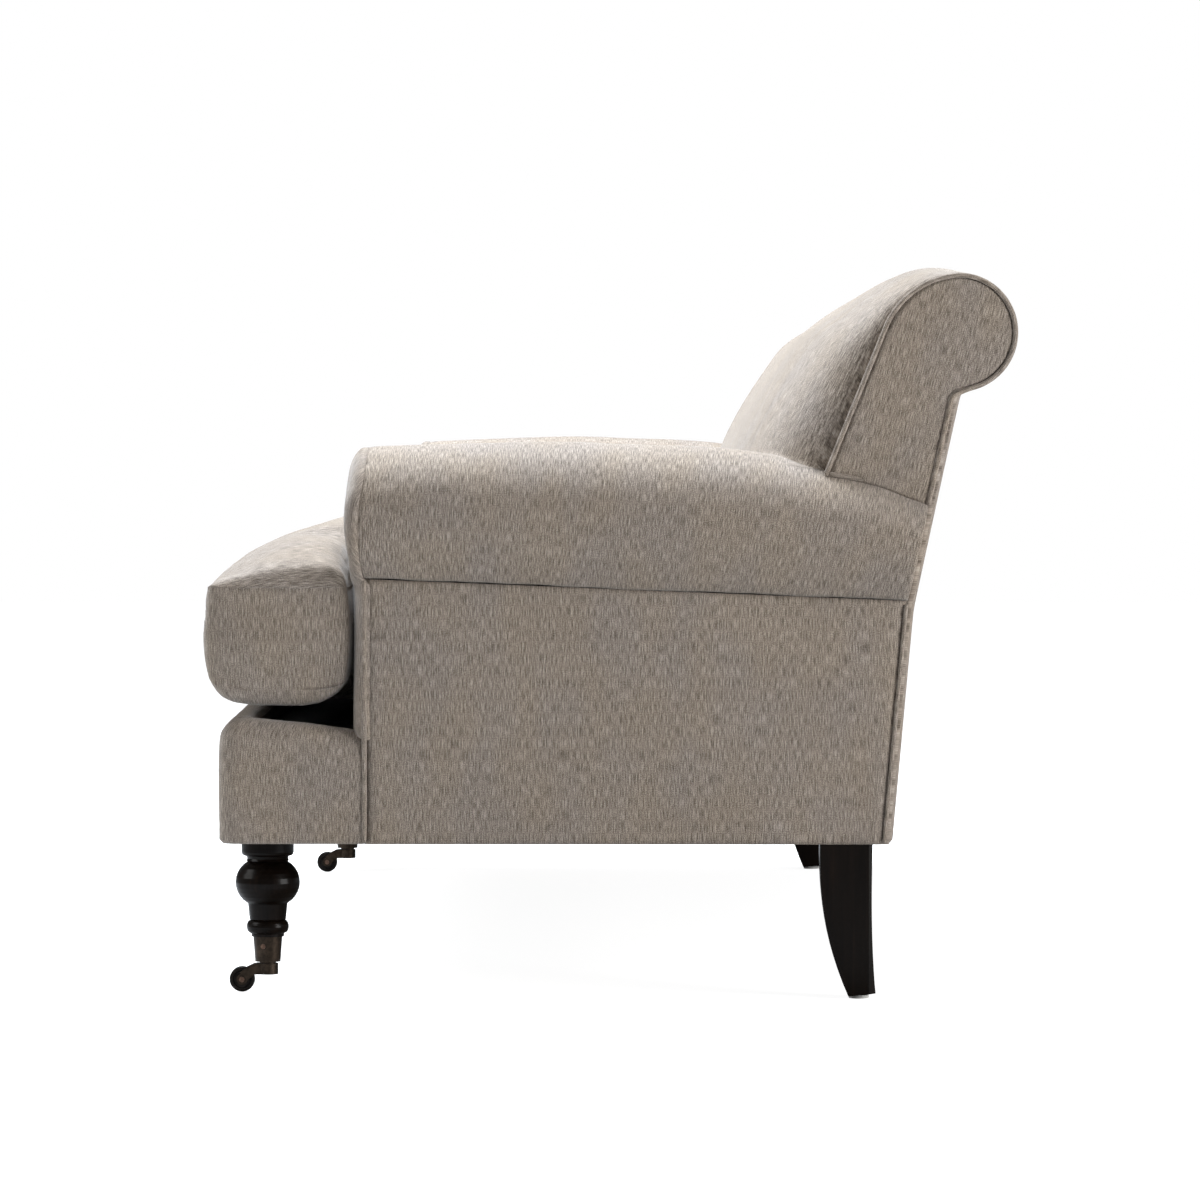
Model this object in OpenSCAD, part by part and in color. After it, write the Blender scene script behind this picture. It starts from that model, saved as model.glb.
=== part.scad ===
// Lawson sofa with rolled arms, a scrolled tight back and three loose seat cushions.
// The front faces -Y, +X is the sitter's left, and the floor is at z = 0.

/* [Body] */
// Width across the outer side panels
body_w = 2060; // [1760:10:2300]
// Place of the front border's face
base_front_y = -468.5; // [-480:0.5:-450]
// Depth from the front border's face to the rear foot of the back
base_depth = 805; // [780:5:840]
// Height of the underside of the base above the floor
leg_h = 186; // [176:1:200]
// Height of the front border
border_h = 150; // [140:1:160]
// Thickness of the padded front border
border_t = 46; // [38:1:46]

/* [Arms] */
// Distance from the border's face back to the arm front
arm_set_back = 175; // [165:1:185]
// Thickness of an arm, from the side panel to the inner face
arm_w = 165; // [150:1:180]
// How far the arm roll stands out from the side panel
arm_overhang = 35; // [20:1:45]
// Height of the arm's crest at its front
arm_h = 662; // [640:1:680]
// Height of the seam under the roll at the arm's front
arm_seam_h = 503; // [490:1:515]
// How far the seam under the roll falls towards the back
arm_seam_fall = 26; // [10:1:34]
// Thickness of the padding on the arm's inner face
arm_pad_t = 38; // [25:1:50]
// How far the padded facing swells from the arm's front
facing_swell = 25; // [15:1:28]

/* [Back] */
// Height of the centre of the back's roll
scroll_h = 796; // [780:1:815]
// Radius of the back's roll at its side facing
scroll_r = 69.5; // [62:0.5:74]
// How far the centre of the back's roll lies in front of the rear line
scroll_lead = 17.6; // [10:0.2:25]
// Thickness of the side facings and of the outer panels
panel_t = 12; // [8:1:16]
// Inset of the back's side facing from the side panel
back_inset = 4; // [2:1:8]
// How far the padding of the inside back crowns forward
back_crown = 105; // [70:1:108]

/* [Seat] */
// How far the cushions stand out before the border
cushion_nose = 20; // [10:1:30]
// Height of the cushion's boxing between its two seams
boxing_h = 120; // [105:1:130]
// Height of the crown above the upper seam
cushion_crown = 78; // [50:1:90]
// Depth of a cushion from its nose to its rear edge
cushion_depth = 574; // [540:1:575]
// Gap left round a loose cushion
cushion_gap = 0.8; // [0.4:0.1:2]

/* [Legs and casters] */
// Distance of the front legs from the side panel
front_leg_inset = 100; // [80:1:130]
// Distance of the front legs behind the border's face
front_leg_set_back = 52; // [52:1:60]
// Radius of the turned leg's bulb
bulb_r = 39; // [34:1:44]
// Diameter of a caster's wheel
wheel_d = 30.6; // [28:0.2:33]
// Width of a caster's wheel
wheel_w = 12; // [9:0.5:14]
// Distance from the swivel to the wheel's axle
caster_trail = 31; // [29:0.5:33]
// Thickness of a sabre leg from side to side
sabre_w = 50; // [40:1:60]

/* [Hidden] */

// Colours
cloth = [0.56, 0.52, 0.49];
timber = [0.72, 0.56, 0.38];
ebonised = [0.07, 0.05, 0.045];
bronze = [0.22, 0.16, 0.11];
worn_bronze = [0.5, 0.42, 0.32];
copper = [0.55, 0.33, 0.2];
nylon = [0.85, 0.85, 0.83];
black_cloth = [0.04, 0.04, 0.04];
spring_steel = [0.45, 0.46, 0.48];

// One overrun for all cuts, and the clearance between flat pieces that only lie beside each other
over = 1;
lie = 0.3;

// Sections and fixings of the hidden wooden frame
rail_t = 32;
rail_h = 100;
block_leg = 90;
post_t = 42;
post_d = 60;
slat_h = 60;
slat_t = 24;
board_t = 26;
web_t = 2;
deck_t = 5;

// Places that follow from the driving sizes
half_w = body_w / 2;
rear_foot_y = base_front_y + base_depth;
arm_front_y = base_front_y + arm_set_back;
arm_in_x = half_w - arm_w;
base_z = leg_h;
border_top_z = base_z + border_h;

// A closed skin over rings of equally many points. In each ring point i faces point len - 1 - i,
// so both ends close as ladders. inside_out turns the faces over.
module loft(rings, inside_out = false) {
    p = len(rings[0]);
    k = len(rings);
    half = p / 2;
    walls = [for (r = [0:k - 2], i = [0:p - 1])
        let (a = r * p + i, b = r * p + (i + 1) % p, c = b + p, d = a + p)
        each [[a, b, c], [a, c, d]]];
    last = (k - 1) * p;
    first_end = [for (i = [0:half - 2]) each [[i, p - 1 - i, p - 2 - i], [i, p - 2 - i, i + 1]]];
    last_end = [for (i = [0:half - 2])
        each [[last + i, last + p - 2 - i, last + p - 1 - i], [last + i, last + i + 1, last + p - 2 - i]]];
    faces = concat(walls, first_end, last_end);
    polyhedron([for (r = rings) each r], inside_out ? [for (f = faces) [f[2], f[1], f[0]]] : faces);
}

// Puts a piece on the sitter's left, or mirrored on the right
module on_side(left) {
    if (left) children();
    else mirror([1, 0, 0]) children();
}

function mix(a, b, t) = a + (b - a) * t;

// Value of a table of [place, value] rows at a place
function read_table(rows, x, i = 0) =
    i >= len(rows) - 2 || x <= rows[i + 1][0]
        ? mix(rows[i][1], rows[i + 1][1],
            max(0, min(1, (x - rows[i][0]) / (rows[i + 1][0] - rows[i][0]))))
        : read_table(rows, x, i + 1);

// The rear line of the back leans a little up to the bend, and more above it
low_lean = 5.2;
high_lean = 12.2;
bend_rise = 282;
outside_back_t = 10;
bend_z = base_z + bend_rise;
function rear_y(z) = rear_foot_y + (min(z, bend_z) - base_z) * tan(low_lean)
    + max(0, z - bend_z) * tan(high_lean);

// The front line of the back's facing leans back and turns over in an arc that meets the roll's top
face_lean = 22;
face_arc_r = 100;
face_arc_ahead = 6;
scroll_fillet = 16;
scroll_y = rear_y(scroll_h) - scroll_lead;
face_arc = [scroll_y + face_arc_ahead, scroll_h + scroll_r - face_arc_r];
scroll_c = [scroll_y, scroll_h];
function around(c, r, a) = [c[0] + r * cos(a), c[1] + r * sin(a)];
face_touch = around(face_arc, face_arc_r, 180 - face_lean);
function face_y(z) = face_touch[0] - (face_touch[1] - z) * tan(face_lean);

// Centre of the hollow fillet that joins the roll's underside to the rear line
rear_along = [sin(high_lean), cos(high_lean)];
rear_out = [cos(high_lean), -sin(high_lean)];
bend_point = [rear_y(bend_z), bend_z];
scroll_from_bend = scroll_c - bend_point;
fillet_up = scroll_from_bend * rear_along
    - sqrt(pow(scroll_r + scroll_fillet, 2) - pow(scroll_fillet - scroll_from_bend * rear_out, 2));
fillet_c = bend_point + fillet_up * rear_along + scroll_fillet * rear_out;
fillet_turn = atan2(fillet_c[1] - scroll_c[1], fillet_c[0] - scroll_c[0]);
under_roll_z = scroll_h - scroll_r - scroll_fillet / 3;

// Section of an arm's roll: an ellipse whose lower outer part ends at the seam
roll_a = (arm_w + arm_overhang) / 2;
roll_x = arm_in_x + roll_a;
roll_low_share = 0.53;
seam_turn = -acos((half_w - roll_x) / roll_a);
crest_shares = [[0, 0], [0.08, 0.005], [0.35, 0.035], [0.62, -0.015],
    [0.78, -0.11], [0.86, -0.165], [0.93, -0.24], [1, -0.40]];
rear_end_y = rear_y(arm_seam_h) - outside_back_t;
function arm_share(y) = (y - arm_front_y) / (rear_end_y - arm_front_y);
function seam_z(y) = arm_seam_h - arm_seam_fall * max(0, min(1, arm_share(y)));
function crest_z(y) = arm_h + (arm_h - arm_seam_h) * read_table(crest_shares, arm_share(y));
function roll_z(y) = mix(seam_z(y), crest_z(y), roll_low_share);
function roll_up(y) = crest_z(y) - roll_z(y);
function roll_down(y) = (roll_z(y) - seam_z(y)) / -sin(seam_turn);
function arm_top_z(x, y) = roll_z(y) + roll_up(y) * sqrt(max(0, 1 - pow((x - roll_x) / roll_a, 2)));
roll_turns = [180, 168, 156, 144, 132, 120, 108, 96, 84, 72, 60, 45, 30, 15, 0,
    seam_turn / 3, 2 * seam_turn / 3, seam_turn];
function roll_point(y, a) =
    [roll_x + roll_a * cos(a), y, roll_z(y) + (a >= 0 ? roll_up(y) : roll_down(y)) * sin(a)];
function arm_ring(y) = let (
        low = border_top_z - deck_drop,
        n = len(roll_turns),
        seat_side = arm_in_x + arm_pad_t,
        under = seam_z(y))
    concat(
        [[arm_in_x, y, low], [arm_in_x, y, min(bend_z, under - over)]],
        [for (a = roll_turns) roll_point(y, a)],
        [for (j = [0:n - 1]) [mix(half_w - panel_t, seat_side, j / (n - 1)), y, under]],
        [[seat_side, y, min(bend_z, under - over)], [seat_side, y, low]]);
// The rear end of an arm is slanted, so that it lies along the rear line of the back
function slanted(ring, y) = [for (q = ring)
    [q[0], q[1] + arm_share(y) * (rear_y(q[2]) - rear_y(arm_seam_h) - lie), q[2]]];
arm_station_shares = [0, 0.04, 0.12, 0.25, 0.4, 0.55, 0.68, 0.78, 0.86, 0.93, 1];
deck_drop = 12;

module arm_pad(left) {
    rings = [for (s = arm_station_shares) let (y = mix(arm_front_y, rear_end_y, s)) slanted(arm_ring(y), y)];
    color(cloth) on_side(left) loft(rings, true);
}

// Padded facing: the outline of the roll and of the post below it, swelling forward in steps
facing_post_shares = [0, 0.12, 0.3, 0.5, 0.7, 0.88];
facing_turns = [0, 18, 36, 52, 66, 78, 86];
facing_foot_z = border_top_z - deck_drop;
facing_inset_gain = 1.1;
facing_foot_share = 0.3;
function facing_edge(side) = let (
        y = arm_front_y,
        post_x = side > 0 ? half_w : arm_in_x,
        neck_z = side > 0 ? seam_z(y) : roll_z(y),
        start = side > 0 ? seam_turn : 0)
    concat(
        [for (s = facing_post_shares) [post_x, mix(facing_foot_z, neck_z, s)]],
        [for (a = facing_turns) let (t = mix(start, 90, a / 90))
            [roll_x + side * roll_a * cos(t),
             roll_z(y) + (t >= 0 ? roll_up(y) : roll_down(y)) * sin(t)]]);
facing_swell_shares = [[0, 0], [0.1, 0.5], [0.28, 0.86], [0.5, 1]];
function facing_ring(step) = let (
        inner = facing_edge(-1),
        outer = facing_edge(1),
        n = len(inner),
        low = inner[0][1],
        high = crest_z(arm_front_y),
        inset = step[0] * roll_a * facing_inset_gain,
        y = arm_front_y - lie - step[1] * facing_swell,
        height = function (z) mix(low + inset * facing_foot_share, high - inset, (z - low) / (high - low)),
        side = function (i, s) (inner[i][0] + outer[i][0]) / 2 + s * (outer[i][0] - inner[i][0]) / 2)
    concat(
        [for (i = [0:n - 1]) [side(i, step[0] - 1), y, height(inner[i][1])]],
        [for (i = [n - 1:-1:0]) [side(i, 1 - step[0]), y, height(outer[i][1])]]);

module arm_facing(left) {
    color(cloth) on_side(left) loft([for (step = facing_swell_shares) facing_ring(step)], true);
}

// Side panel from the base to the seam under the roll
module outer_panel(left) {
    back = rear_y(base_z) - outside_back_t - lie;
    bend = rear_y(bend_z) - outside_back_t - lie;
    top_y = rear_y(arm_seam_h - arm_seam_fall) - outside_back_t - lie;
    bend_up = min(bend_z, seam_z(top_y) - over);
    outline = [[arm_front_y, base_z], [back, base_z], [bend, bend_up],
        [top_y, seam_z(top_y) - lie], [arm_front_y, seam_z(arm_front_y) - lie]];
    color(cloth) on_side(left) translate([half_w - panel_t, 0, 0])
        rotate([90, 0, 90]) linear_extrude(panel_t) polygon(outline);
}

// Outline of the back above the arms: front line, arc, roll, fillet and rear line
face_turns = [158, 144, 130, 116, 103, 90];
roll_over_turns = [78, 60, 42, 24, 6, -12, -30, -48, -64];
function back_outline(low_front, low_rear) = concat(
    [[face_y(low_front), low_front]],
    [for (a = face_turns) around(face_arc, face_arc_r, a)],
    [for (a = roll_over_turns) around(scroll_c, scroll_r, a)],
    [around(scroll_c, scroll_r, fillet_turn),
     [rear_y(under_roll_z) - outside_back_t - lie, under_roll_z],
     [rear_y(low_rear) - outside_back_t - lie, low_rear]]);

// Side facing of the back, which stands on the roll of the arm
facing_plane_x = half_w - back_inset - panel_t;
facing_seat_lift = 1.5;
facing_seat_shares = [1, 0.93, 0.86, 0.78, 0.68, 0.6];
module back_facing(left) {
    seat = [for (s = facing_seat_shares)
        let (y = mix(arm_front_y, rear_end_y, s), z = arm_top_z(facing_plane_x, y))
        [y + s * (rear_y(z) - rear_y(arm_seam_h)) - lie, z + facing_seat_lift]];
    low_rear = seat[0][1] + panel_t / 2;
    front_at = [for (q = seat) if (q[0] > face_y(q[1]) + facing_seat_lift) q];
    edge_z = front_at[len(front_at) - 1][1] + panel_t / 2;
    outline = concat(back_outline(edge_z, low_rear), front_at);
    color(cloth) on_side(left) translate([facing_plane_x, 0, 0])
        rotate([90, 0, 90]) linear_extrude(panel_t) polygon(outline);
}

// Inside back: the padding in front of the posts and over the scroll rail, crowned between the facings
back_pad_t = 22;
deck_top_z = border_top_z - deck_drop;
front_rise_shares = [0, 0.16, 0.34, 0.52, 0.68, 0.82, 0.93];
front_crown_shares = [0.3, 0.8, 1, 1.02, 1, 0.89, 0.75];
arc_crown_shares = [[158, 0.525], [147, 0.395], [136, 0.31], [125, 0.26], [112, 0.21], [100, 0.14], [90, 0.08]];
roll_crown_shares = [[72, 0.06], [52, 0.05], [32, 0.05], [12, 0.05],
    [-8, 0.05], [-28, 0.05], [-48, 0.04], [-66, 0.02]];
face_out = [-cos(face_lean), sin(face_lean)];
function on_face(z) = [face_y(z), z];
function back_skin(swell, off) = concat(
    [for (i = [0:len(front_rise_shares) - 1])
        on_face(mix(deck_top_z, face_touch[1], front_rise_shares[i]))
            + face_out * (swell * front_crown_shares[i] - off)],
    [for (r = arc_crown_shares) around(face_arc, face_arc_r - off + swell * r[1], r[0])],
    [for (r = roll_crown_shares) around(scroll_c, scroll_r - off + swell * r[1], r[0])],
    [around(scroll_c, scroll_r - off, fillet_turn)]);
back_crown_power = 10;
pad_end_x = facing_plane_x - lie;
function back_swell(x) = back_crown * sqrt(1 - pow(min(1, abs(x) / pad_end_x), back_crown_power));
// Height of the arm at a place, allowing for the slant of its rear end
function over_arm_z(x, y) = let (
        s = max(0, min(1, arm_share(y))),
        slant = s * (rear_y(arm_top_z(x, min(y, rear_end_y))) - rear_y(arm_seam_h)))
    arm_top_z(x, min(y - slant, rear_end_y)) + facing_seat_lift;
function back_ring(x, above_arm) = let (
        skin = back_skin(back_swell(x), 0),
        inner = back_skin(0, back_pad_t),
        n = len(skin),
        lift = function (q, i) above_arm
            ? [x, q[0], max(q[1], over_arm_z(abs(x), q[0]) + i * lie)]
            : [x, q[0], max(q[1], deck_top_z + lie + i * lie)])
    concat([for (i = [0:n - 1]) lift(skin[i], i)], [for (i = [n - 1:-1:0]) lift(inner[i], i)]);
back_end_turns = [62, 72, 84, 96, 108, 120, 132, 144, 156, 168, 180];
back_mid_shares = [-1, -0.86, 0, 0.86, 1];
module inside_back() {
    ends = [for (a = back_end_turns) min(pad_end_x, roll_x + roll_a * cos(a))];
    right = [for (x = ends) back_ring(-x, true)];
    middle = [for (s = back_mid_shares) back_ring(s * (arm_in_x - lie), false)];
    left = [for (i = [len(ends) - 1:-1:0]) back_ring(ends[i], true)];
    color(cloth) loft(concat(right, middle, left));
}

// Outside back: a thin padded panel that follows the rear line and turns out under the roll
fillet_step = 17;
module outside_back() {
    outline = concat(
        [for (a = [180 + fillet_turn:fillet_step:180 - high_lean]) around(fillet_c, scroll_fillet, a)],
        [bend_point, [rear_foot_y, base_z], [rear_foot_y - outside_back_t, base_z],
         [rear_y(bend_z) - outside_back_t, bend_z], [rear_y(under_roll_z) - outside_back_t, under_roll_z]]);
    width = 2 * (half_w - back_inset);
    color(cloth) translate([-width / 2, 0, 0]) rotate([90, 0, 90]) linear_extrude(width) polygon(outline);
}

// Front border: a padded edge along the front that returns to the arm fronts
border_out_shares = [[0, 0], [-0.02, 0.35], [0, 0.8], [0.14, 0.93], [0.4, 0.99], [0.75, 1], [1, 0.96]];
border_corner_r = 24;
return_fall_shares = [[0, 0.87], [0.06, 0.9], [0.5, 0.955], [1, 1]];
border_crown_share = 0.06;
border_inner_share = 0.9;
border_front_steps = 4;
function border_ring(outer, inner, rise) = let (n = len(border_out_shares)) concat(
    [for (q = border_out_shares) let (p = mix(outer, inner, q[0]))
        [p[0], p[1], base_z + border_h * q[1] * rise]],
    [for (i = [n - 1:-1:0]) let (q = border_out_shares[i])
        [inner[0], inner[1], base_z + border_h * border_inner_share * i / (n - 1) * rise]]);
module front_border() {
    t = border_t;
    r = border_corner_r;
    y0 = base_front_y;
    cut = r * (1 - cos(45));
    corner = [
        [[half_w, y0 + r], [half_w - t, y0 + t + 2 * lie]],
        [[half_w - cut, y0 + cut], [half_w - t, y0 + t]],
        [[half_w - r, y0], [half_w - t - 2 * lie, y0 + t]]];
    side = [for (q = return_fall_shares) let (y = mix(arm_front_y - lie, y0 + r + over, q[0]))
        border_ring([half_w, y], [half_w - t, max(y, y0 + t + (4 * (1 - q[0]) + 3) * lie)], q[1])];
    bend = [for (q = corner) border_ring(q[0], q[1], 1)];
    steps = 2 * border_front_steps;
    front = [for (i = [1:steps - 1]) let (x = mix(half_w - r, r - half_w, i / steps))
        border_ring([x, y0], [x, y0 + t], 1 + border_crown_share * cos(90 * x / half_w))];
    one = concat(side, bend);
    other = [for (i = [len(one) - 1:-1:0]) [for (q = one[i]) [-q[0], q[1], q[2]]]];
    color(cloth) loft(concat(one, front, other));
}

// Seat cushions: sections across the seat, lofted from the nose to the rear edge.
// The end cushions are wider at the front, where they reach round the arm fronts.
cushion_seat_lift = 36;
cushion_low_seam_z = border_top_z + cushion_seat_lift;
cushion_low_crown = 22;
ear_end_in = 9;
ear_end_x = half_w - ear_end_in;
cushion_front_y = base_front_y - cushion_nose;
ear_rear_y = arm_front_y - facing_swell - lie - cushion_gap;
depth_shares = [0, 0.012, 0.035, 0.08, 0.15, 0.24];
rear_depth_shares = [0.38, 0.52, 0.68, 0.82, 0.91, 0.965, 0.99, 1];
crown_rise_shares = [[0, 0], [0.026, 0.31], [0.08, 0.54], [0.15, 0.745], [0.24, 0.9], [0.4, 1], [0.75, 0.96],
    [0.9, 0.72], [0.97, 0.34], [1, 0]];
cross_shares = [0, 0.008, 0.03, 0.09, 0.2, 0.35];
cross_rise_shares = [0, 0.12, 0.34, 0.62, 0.86, 0.97];
low_rise_shares = [0, 0.5, 0.85, 0.95, 1, 1];
nose_share = 0.45;
nose_gain = 40;
edge_share = 0.35;
low_crown_gain = 1.6;
ear_margin_share = 0.03;
ear_hold_share = 0.93;
ear_crown_share = 0.3;
ear_step = 1.5;
last_cross = len(cross_shares) - 1;
function both_ways(shares, middle) = concat(shares, [middle], [for (i = [last_cross:-1:0]) shares[i]]);
function cushion_cross() =
    concat(cross_shares, [0.5], [for (i = [last_cross:-1:0]) 1 - cross_shares[i]]);
function cushion_ring(y, x0, x1, share) = let (
        cross = cushion_cross(),
        rise = both_ways(cross_rise_shares, 1),
        fall = both_ways(low_rise_shares, 1),
        n = len(cross),
        crown = read_table(crown_rise_shares, share),
        nose = min(1, nose_share + nose_gain * min(share, 1 - share)),
        mid_z = cushion_low_seam_z + boxing_h / 2,
        half = function (i) boxing_h / 2 * nose * (i == 0 || i == n - 1 ? edge_share : 1))
    concat(
        [for (i = [0:n - 1]) [mix(x0, x1, cross[i]), y, mid_z + half(i) + cushion_crown * crown * rise[i]]],
        [for (i = [n - 1:-1:0]) [mix(x0, x1, cross[i]), y,
            mid_z - half(i) - cushion_low_crown * min(1, low_crown_gain * crown) * fall[i]]]);
module cushion(x0, x1, ear_x0, ear_x1) {
    span = cushion_depth;
    ear_share = (ear_rear_y - cushion_front_y) / span;
    has_ear = ear_x0 != x0 || ear_x1 != x1;
    front = [for (s = depth_shares) if (s < ear_share - ear_margin_share)
        cushion_ring(cushion_front_y + s * span, ear_x0, ear_x1, s)];
    hold = ear_hold_share * ear_share;
    ear = has_ear ? [cushion_ring(cushion_front_y + hold * span, ear_x0, ear_x1, hold),
        cushion_ear_end(ear_rear_y - ear_step, ear_x0, ear_x1, ear_share)] : [];
    body = [for (s = concat([ear_share], rear_depth_shares))
        cushion_ring(cushion_front_y + s * span, x0, x1, s)];
    color(cloth) loft(concat(front, ear, body));
}
// The rear face of an ear, whose crown comes down to the seams
function cushion_ear_end(y, x0, x1, share) = let (
        ring = cushion_ring(y, x0, x1, share),
        low = cushion_low_seam_z - cushion_low_crown / 2,
        high = cushion_low_seam_z + boxing_h + cushion_crown * ear_crown_share)
    [for (q = ring) abs(q[0]) > arm_in_x - 4 * cushion_gap ? [q[0], q[1], max(low, min(q[2], high))] : q];

module seat_cushion(place) {
    inner_half = arm_in_x - cushion_gap;
    third = 2 * arm_in_x / 3;
    x0 = -third / 2 + cushion_gap / 2;
    if (place == 0) cushion(x0, -x0, x0, -x0);
    else on_side(place > 0) cushion(-x0 + cushion_gap, inner_half, -x0 + cushion_gap, ear_end_x);
}

// Deck pad under the cushions, and the dust cover stapled under the base
module deck_cloth() {
    front = base_front_y + border_t + 3 * lie;
    wide = half_w - border_t - lie;
    narrow = arm_in_x - lie;
    step = arm_front_y - facing_swell - 2 * lie;
    back = rear_foot_y - outside_back_t - lie;
    t = deck_top_z - spring_z - spring_t;
    color(black_cloth) translate([0, 0, deck_top_z - t]) linear_extrude(t) difference() {
        polygon([[-wide, front], [wide, front], [wide, step], [narrow, step], [narrow, back],
            [-narrow, back], [-narrow, step], [-wide, step]]);
        for (x = [-post_x, 0, post_x])
            translate([x - post_t / 2 - lie, face_y(deck_top_z - t) + back_pad_t - over])
                square([post_t + 2 * lie, back - face_y(deck_top_z - t)]);
    }
}
module dust_cover() {
    front = base_front_y + border_t + 3 * lie;
    back = rear_foot_y - outside_back_t - lie;
    side = half_w - border_t - 2 * lie;
    color(black_cloth) difference() {
        translate([-side, front, base_z]) cube([2 * side, back - front, web_t]);
        for (s = [-1, 1]) translate([s * front_leg_x, front_leg_y, base_z - over])
            cylinder(r = leg_bolt_r + lie, h = web_t + 2 * over, $fn = 24);
    }
}

// Hardwood base
post_set_in = 54;
post_x = arm_in_x - post_set_in;
rail_z = base_z + web_t;
rail_top_z = base_z + rail_h;
front_leg_x = half_w - front_leg_inset;
front_leg_y = base_front_y + front_leg_set_back;
side_rail_x = half_w - border_t - 2 * lie - rail_t;
front_rail_y = base_front_y + border_t + 3 * lie;
back_rail_y = rear_foot_y - outside_back_t - lie - rail_t;
leg_bolt_r = 4;
leg_bolt_up = 58;
leg_bolt_down = 40;
module front_rail() {
    color(timber) difference() {
        translate([-side_rail_x, front_rail_y, rail_z]) cube([2 * side_rail_x, rail_t, rail_top_z - rail_z]);
        for (s = [-1, 1]) translate([s * front_leg_x, front_leg_y, rail_z - over])
            cylinder(r = leg_bolt_r, h = leg_bolt_up, $fn = 32);
    }
}
module back_rail() {
    color(timber) translate([-side_rail_x, back_rail_y, rail_z])
        cube([2 * side_rail_x, rail_t, rail_top_z - rail_z]);
}
module side_rail(left) {
    color(timber) on_side(left) translate([side_rail_x, front_rail_y, rail_z])
        cube([rail_t, back_rail_y + rail_t - front_rail_y, rail_top_z - rail_z]);
}
module cross_rails() {
    y0 = front_rail_y + rail_t;
    for (x = [-post_x, 0, post_x])
        color(timber) translate([x - rail_t / 2, y0, rail_z])
            cube([rail_t, back_rail_y - y0, rail_top_z - rail_z]);
}
// Glued corner blocks, and the blocks that take the rear legs
module corner_blocks() {
    y0 = front_rail_y + rail_t;
    for (s = [-1, 1]) color(timber) {
        corner_block(s * side_rail_x, y0, -s, 1);
        corner_block(s * side_rail_x, back_rail_y, -s, -1);
        rear_leg_block(s);
    }
}
module corner_block(x, y, sx, sy) {
    translate([x, y, rail_z]) linear_extrude(rail_top_z - rail_z)
        polygon([[0, 0], [sx * block_leg, 0], [0, sy * block_leg]]);
}
module rear_leg_block(s) {
    x0 = side_rail_x + rail_t;
    x1 = half_w - panel_t - lie;
    y1 = rear_foot_y - outside_back_t - lie;
    difference() {
        translate([s > 0 ? x0 : -x1, y1 - block_leg, rail_z]) cube([x1 - x0, block_leg, rail_top_z - rail_z]);
        translate([s * sabre_x, sabre_y, rail_z - over]) cylinder(r = leg_bolt_r, h = leg_bolt_up, $fn = 32);
    }
}

// Arm frame: a front post and a rear stump that carry the board under the roll
arm_frame_x0 = arm_in_x + arm_pad_t + lie;
arm_frame_w = half_w - panel_t - lie - arm_frame_x0;
module arm_post(left) {
    stump_y = rear_foot_y - outside_back_t - lie - post_d;
    for (y = [arm_front_y, stump_y]) {
        top0 = seam_z(y) - board_t - lie;
        top1 = seam_z(y + post_d) - board_t - lie;
        color(timber) on_side(left) translate([arm_frame_x0, 0, 0]) rotate([90, 0, 90])
            linear_extrude(arm_frame_w)
                polygon([[y, rail_top_z], [y + post_d, rail_top_z], [y + post_d, top1], [y, top0]]);
    }
}
module arm_board(left) {
    y0 = arm_front_y;
    y1 = rear_foot_y;
    color(timber) on_side(left) translate([arm_frame_x0, 0, 0]) rotate([90, 0, 90])
        linear_extrude(arm_frame_w)
            polygon([[y0, seam_z(y0) - lie], [y1, seam_z(y1) - lie],
                [y1, seam_z(y1) - board_t], [y0, seam_z(y0) - board_t]]);
}

// Back frame: sawn posts between the padding and the outside back, and the rail in the roll
pad_lap = 1;
scroll_rail_r = scroll_r - back_pad_t - pad_lap;
post_front_off = (back_pad_t + lie) / cos(face_lean);
module back_post(x) {
    top_z = scroll_h;
    color(timber) translate([x - post_t / 2, 0, 0]) difference() {
        rotate([90, 0, 90]) linear_extrude(post_t)
            polygon([[face_y(rail_top_z) + post_front_off, rail_top_z],
                [back_rail_y + rail_t, rail_top_z],
                [rear_y(bend_z) - outside_back_t - lie, bend_z],
                [rear_y(scroll_h - scroll_r) - outside_back_t - lie, scroll_h - scroll_r - lie],
                [scroll_y, top_z],
                [face_y(top_z) + post_front_off, top_z]]);
        translate([-over, scroll_y, scroll_h]) rotate([0, 90, 0])
            cylinder(r = scroll_rail_r, h = post_t + 2 * over, $fn = 64);
    }
}
module scroll_rail() {
    color(timber) translate([-pad_end_x, scroll_y, scroll_h]) rotate([0, 90, 0])
        cylinder(r = scroll_rail_r, h = 2 * pad_end_x, $fn = 64);
}
slat_shares = [0.12, 0.62];
module back_slats() {
    bays = [[-post_x + post_t / 2, -post_t / 2], [post_t / 2, post_x - post_t / 2]];
    for (s = slat_shares, b = bays) {
        z = mix(deck_top_z, scroll_h, s);
        color(timber) translate([b[0], 0, 0]) rotate([90, 0, 90]) linear_extrude(b[1] - b[0])
            polygon([[face_y(z) + post_front_off, z], [face_y(z) + post_front_off + slat_t, z],
                [face_y(z + slat_h) + post_front_off + slat_t, z + slat_h],
                [face_y(z + slat_h) + post_front_off, z + slat_h]]);
    }
}

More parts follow.
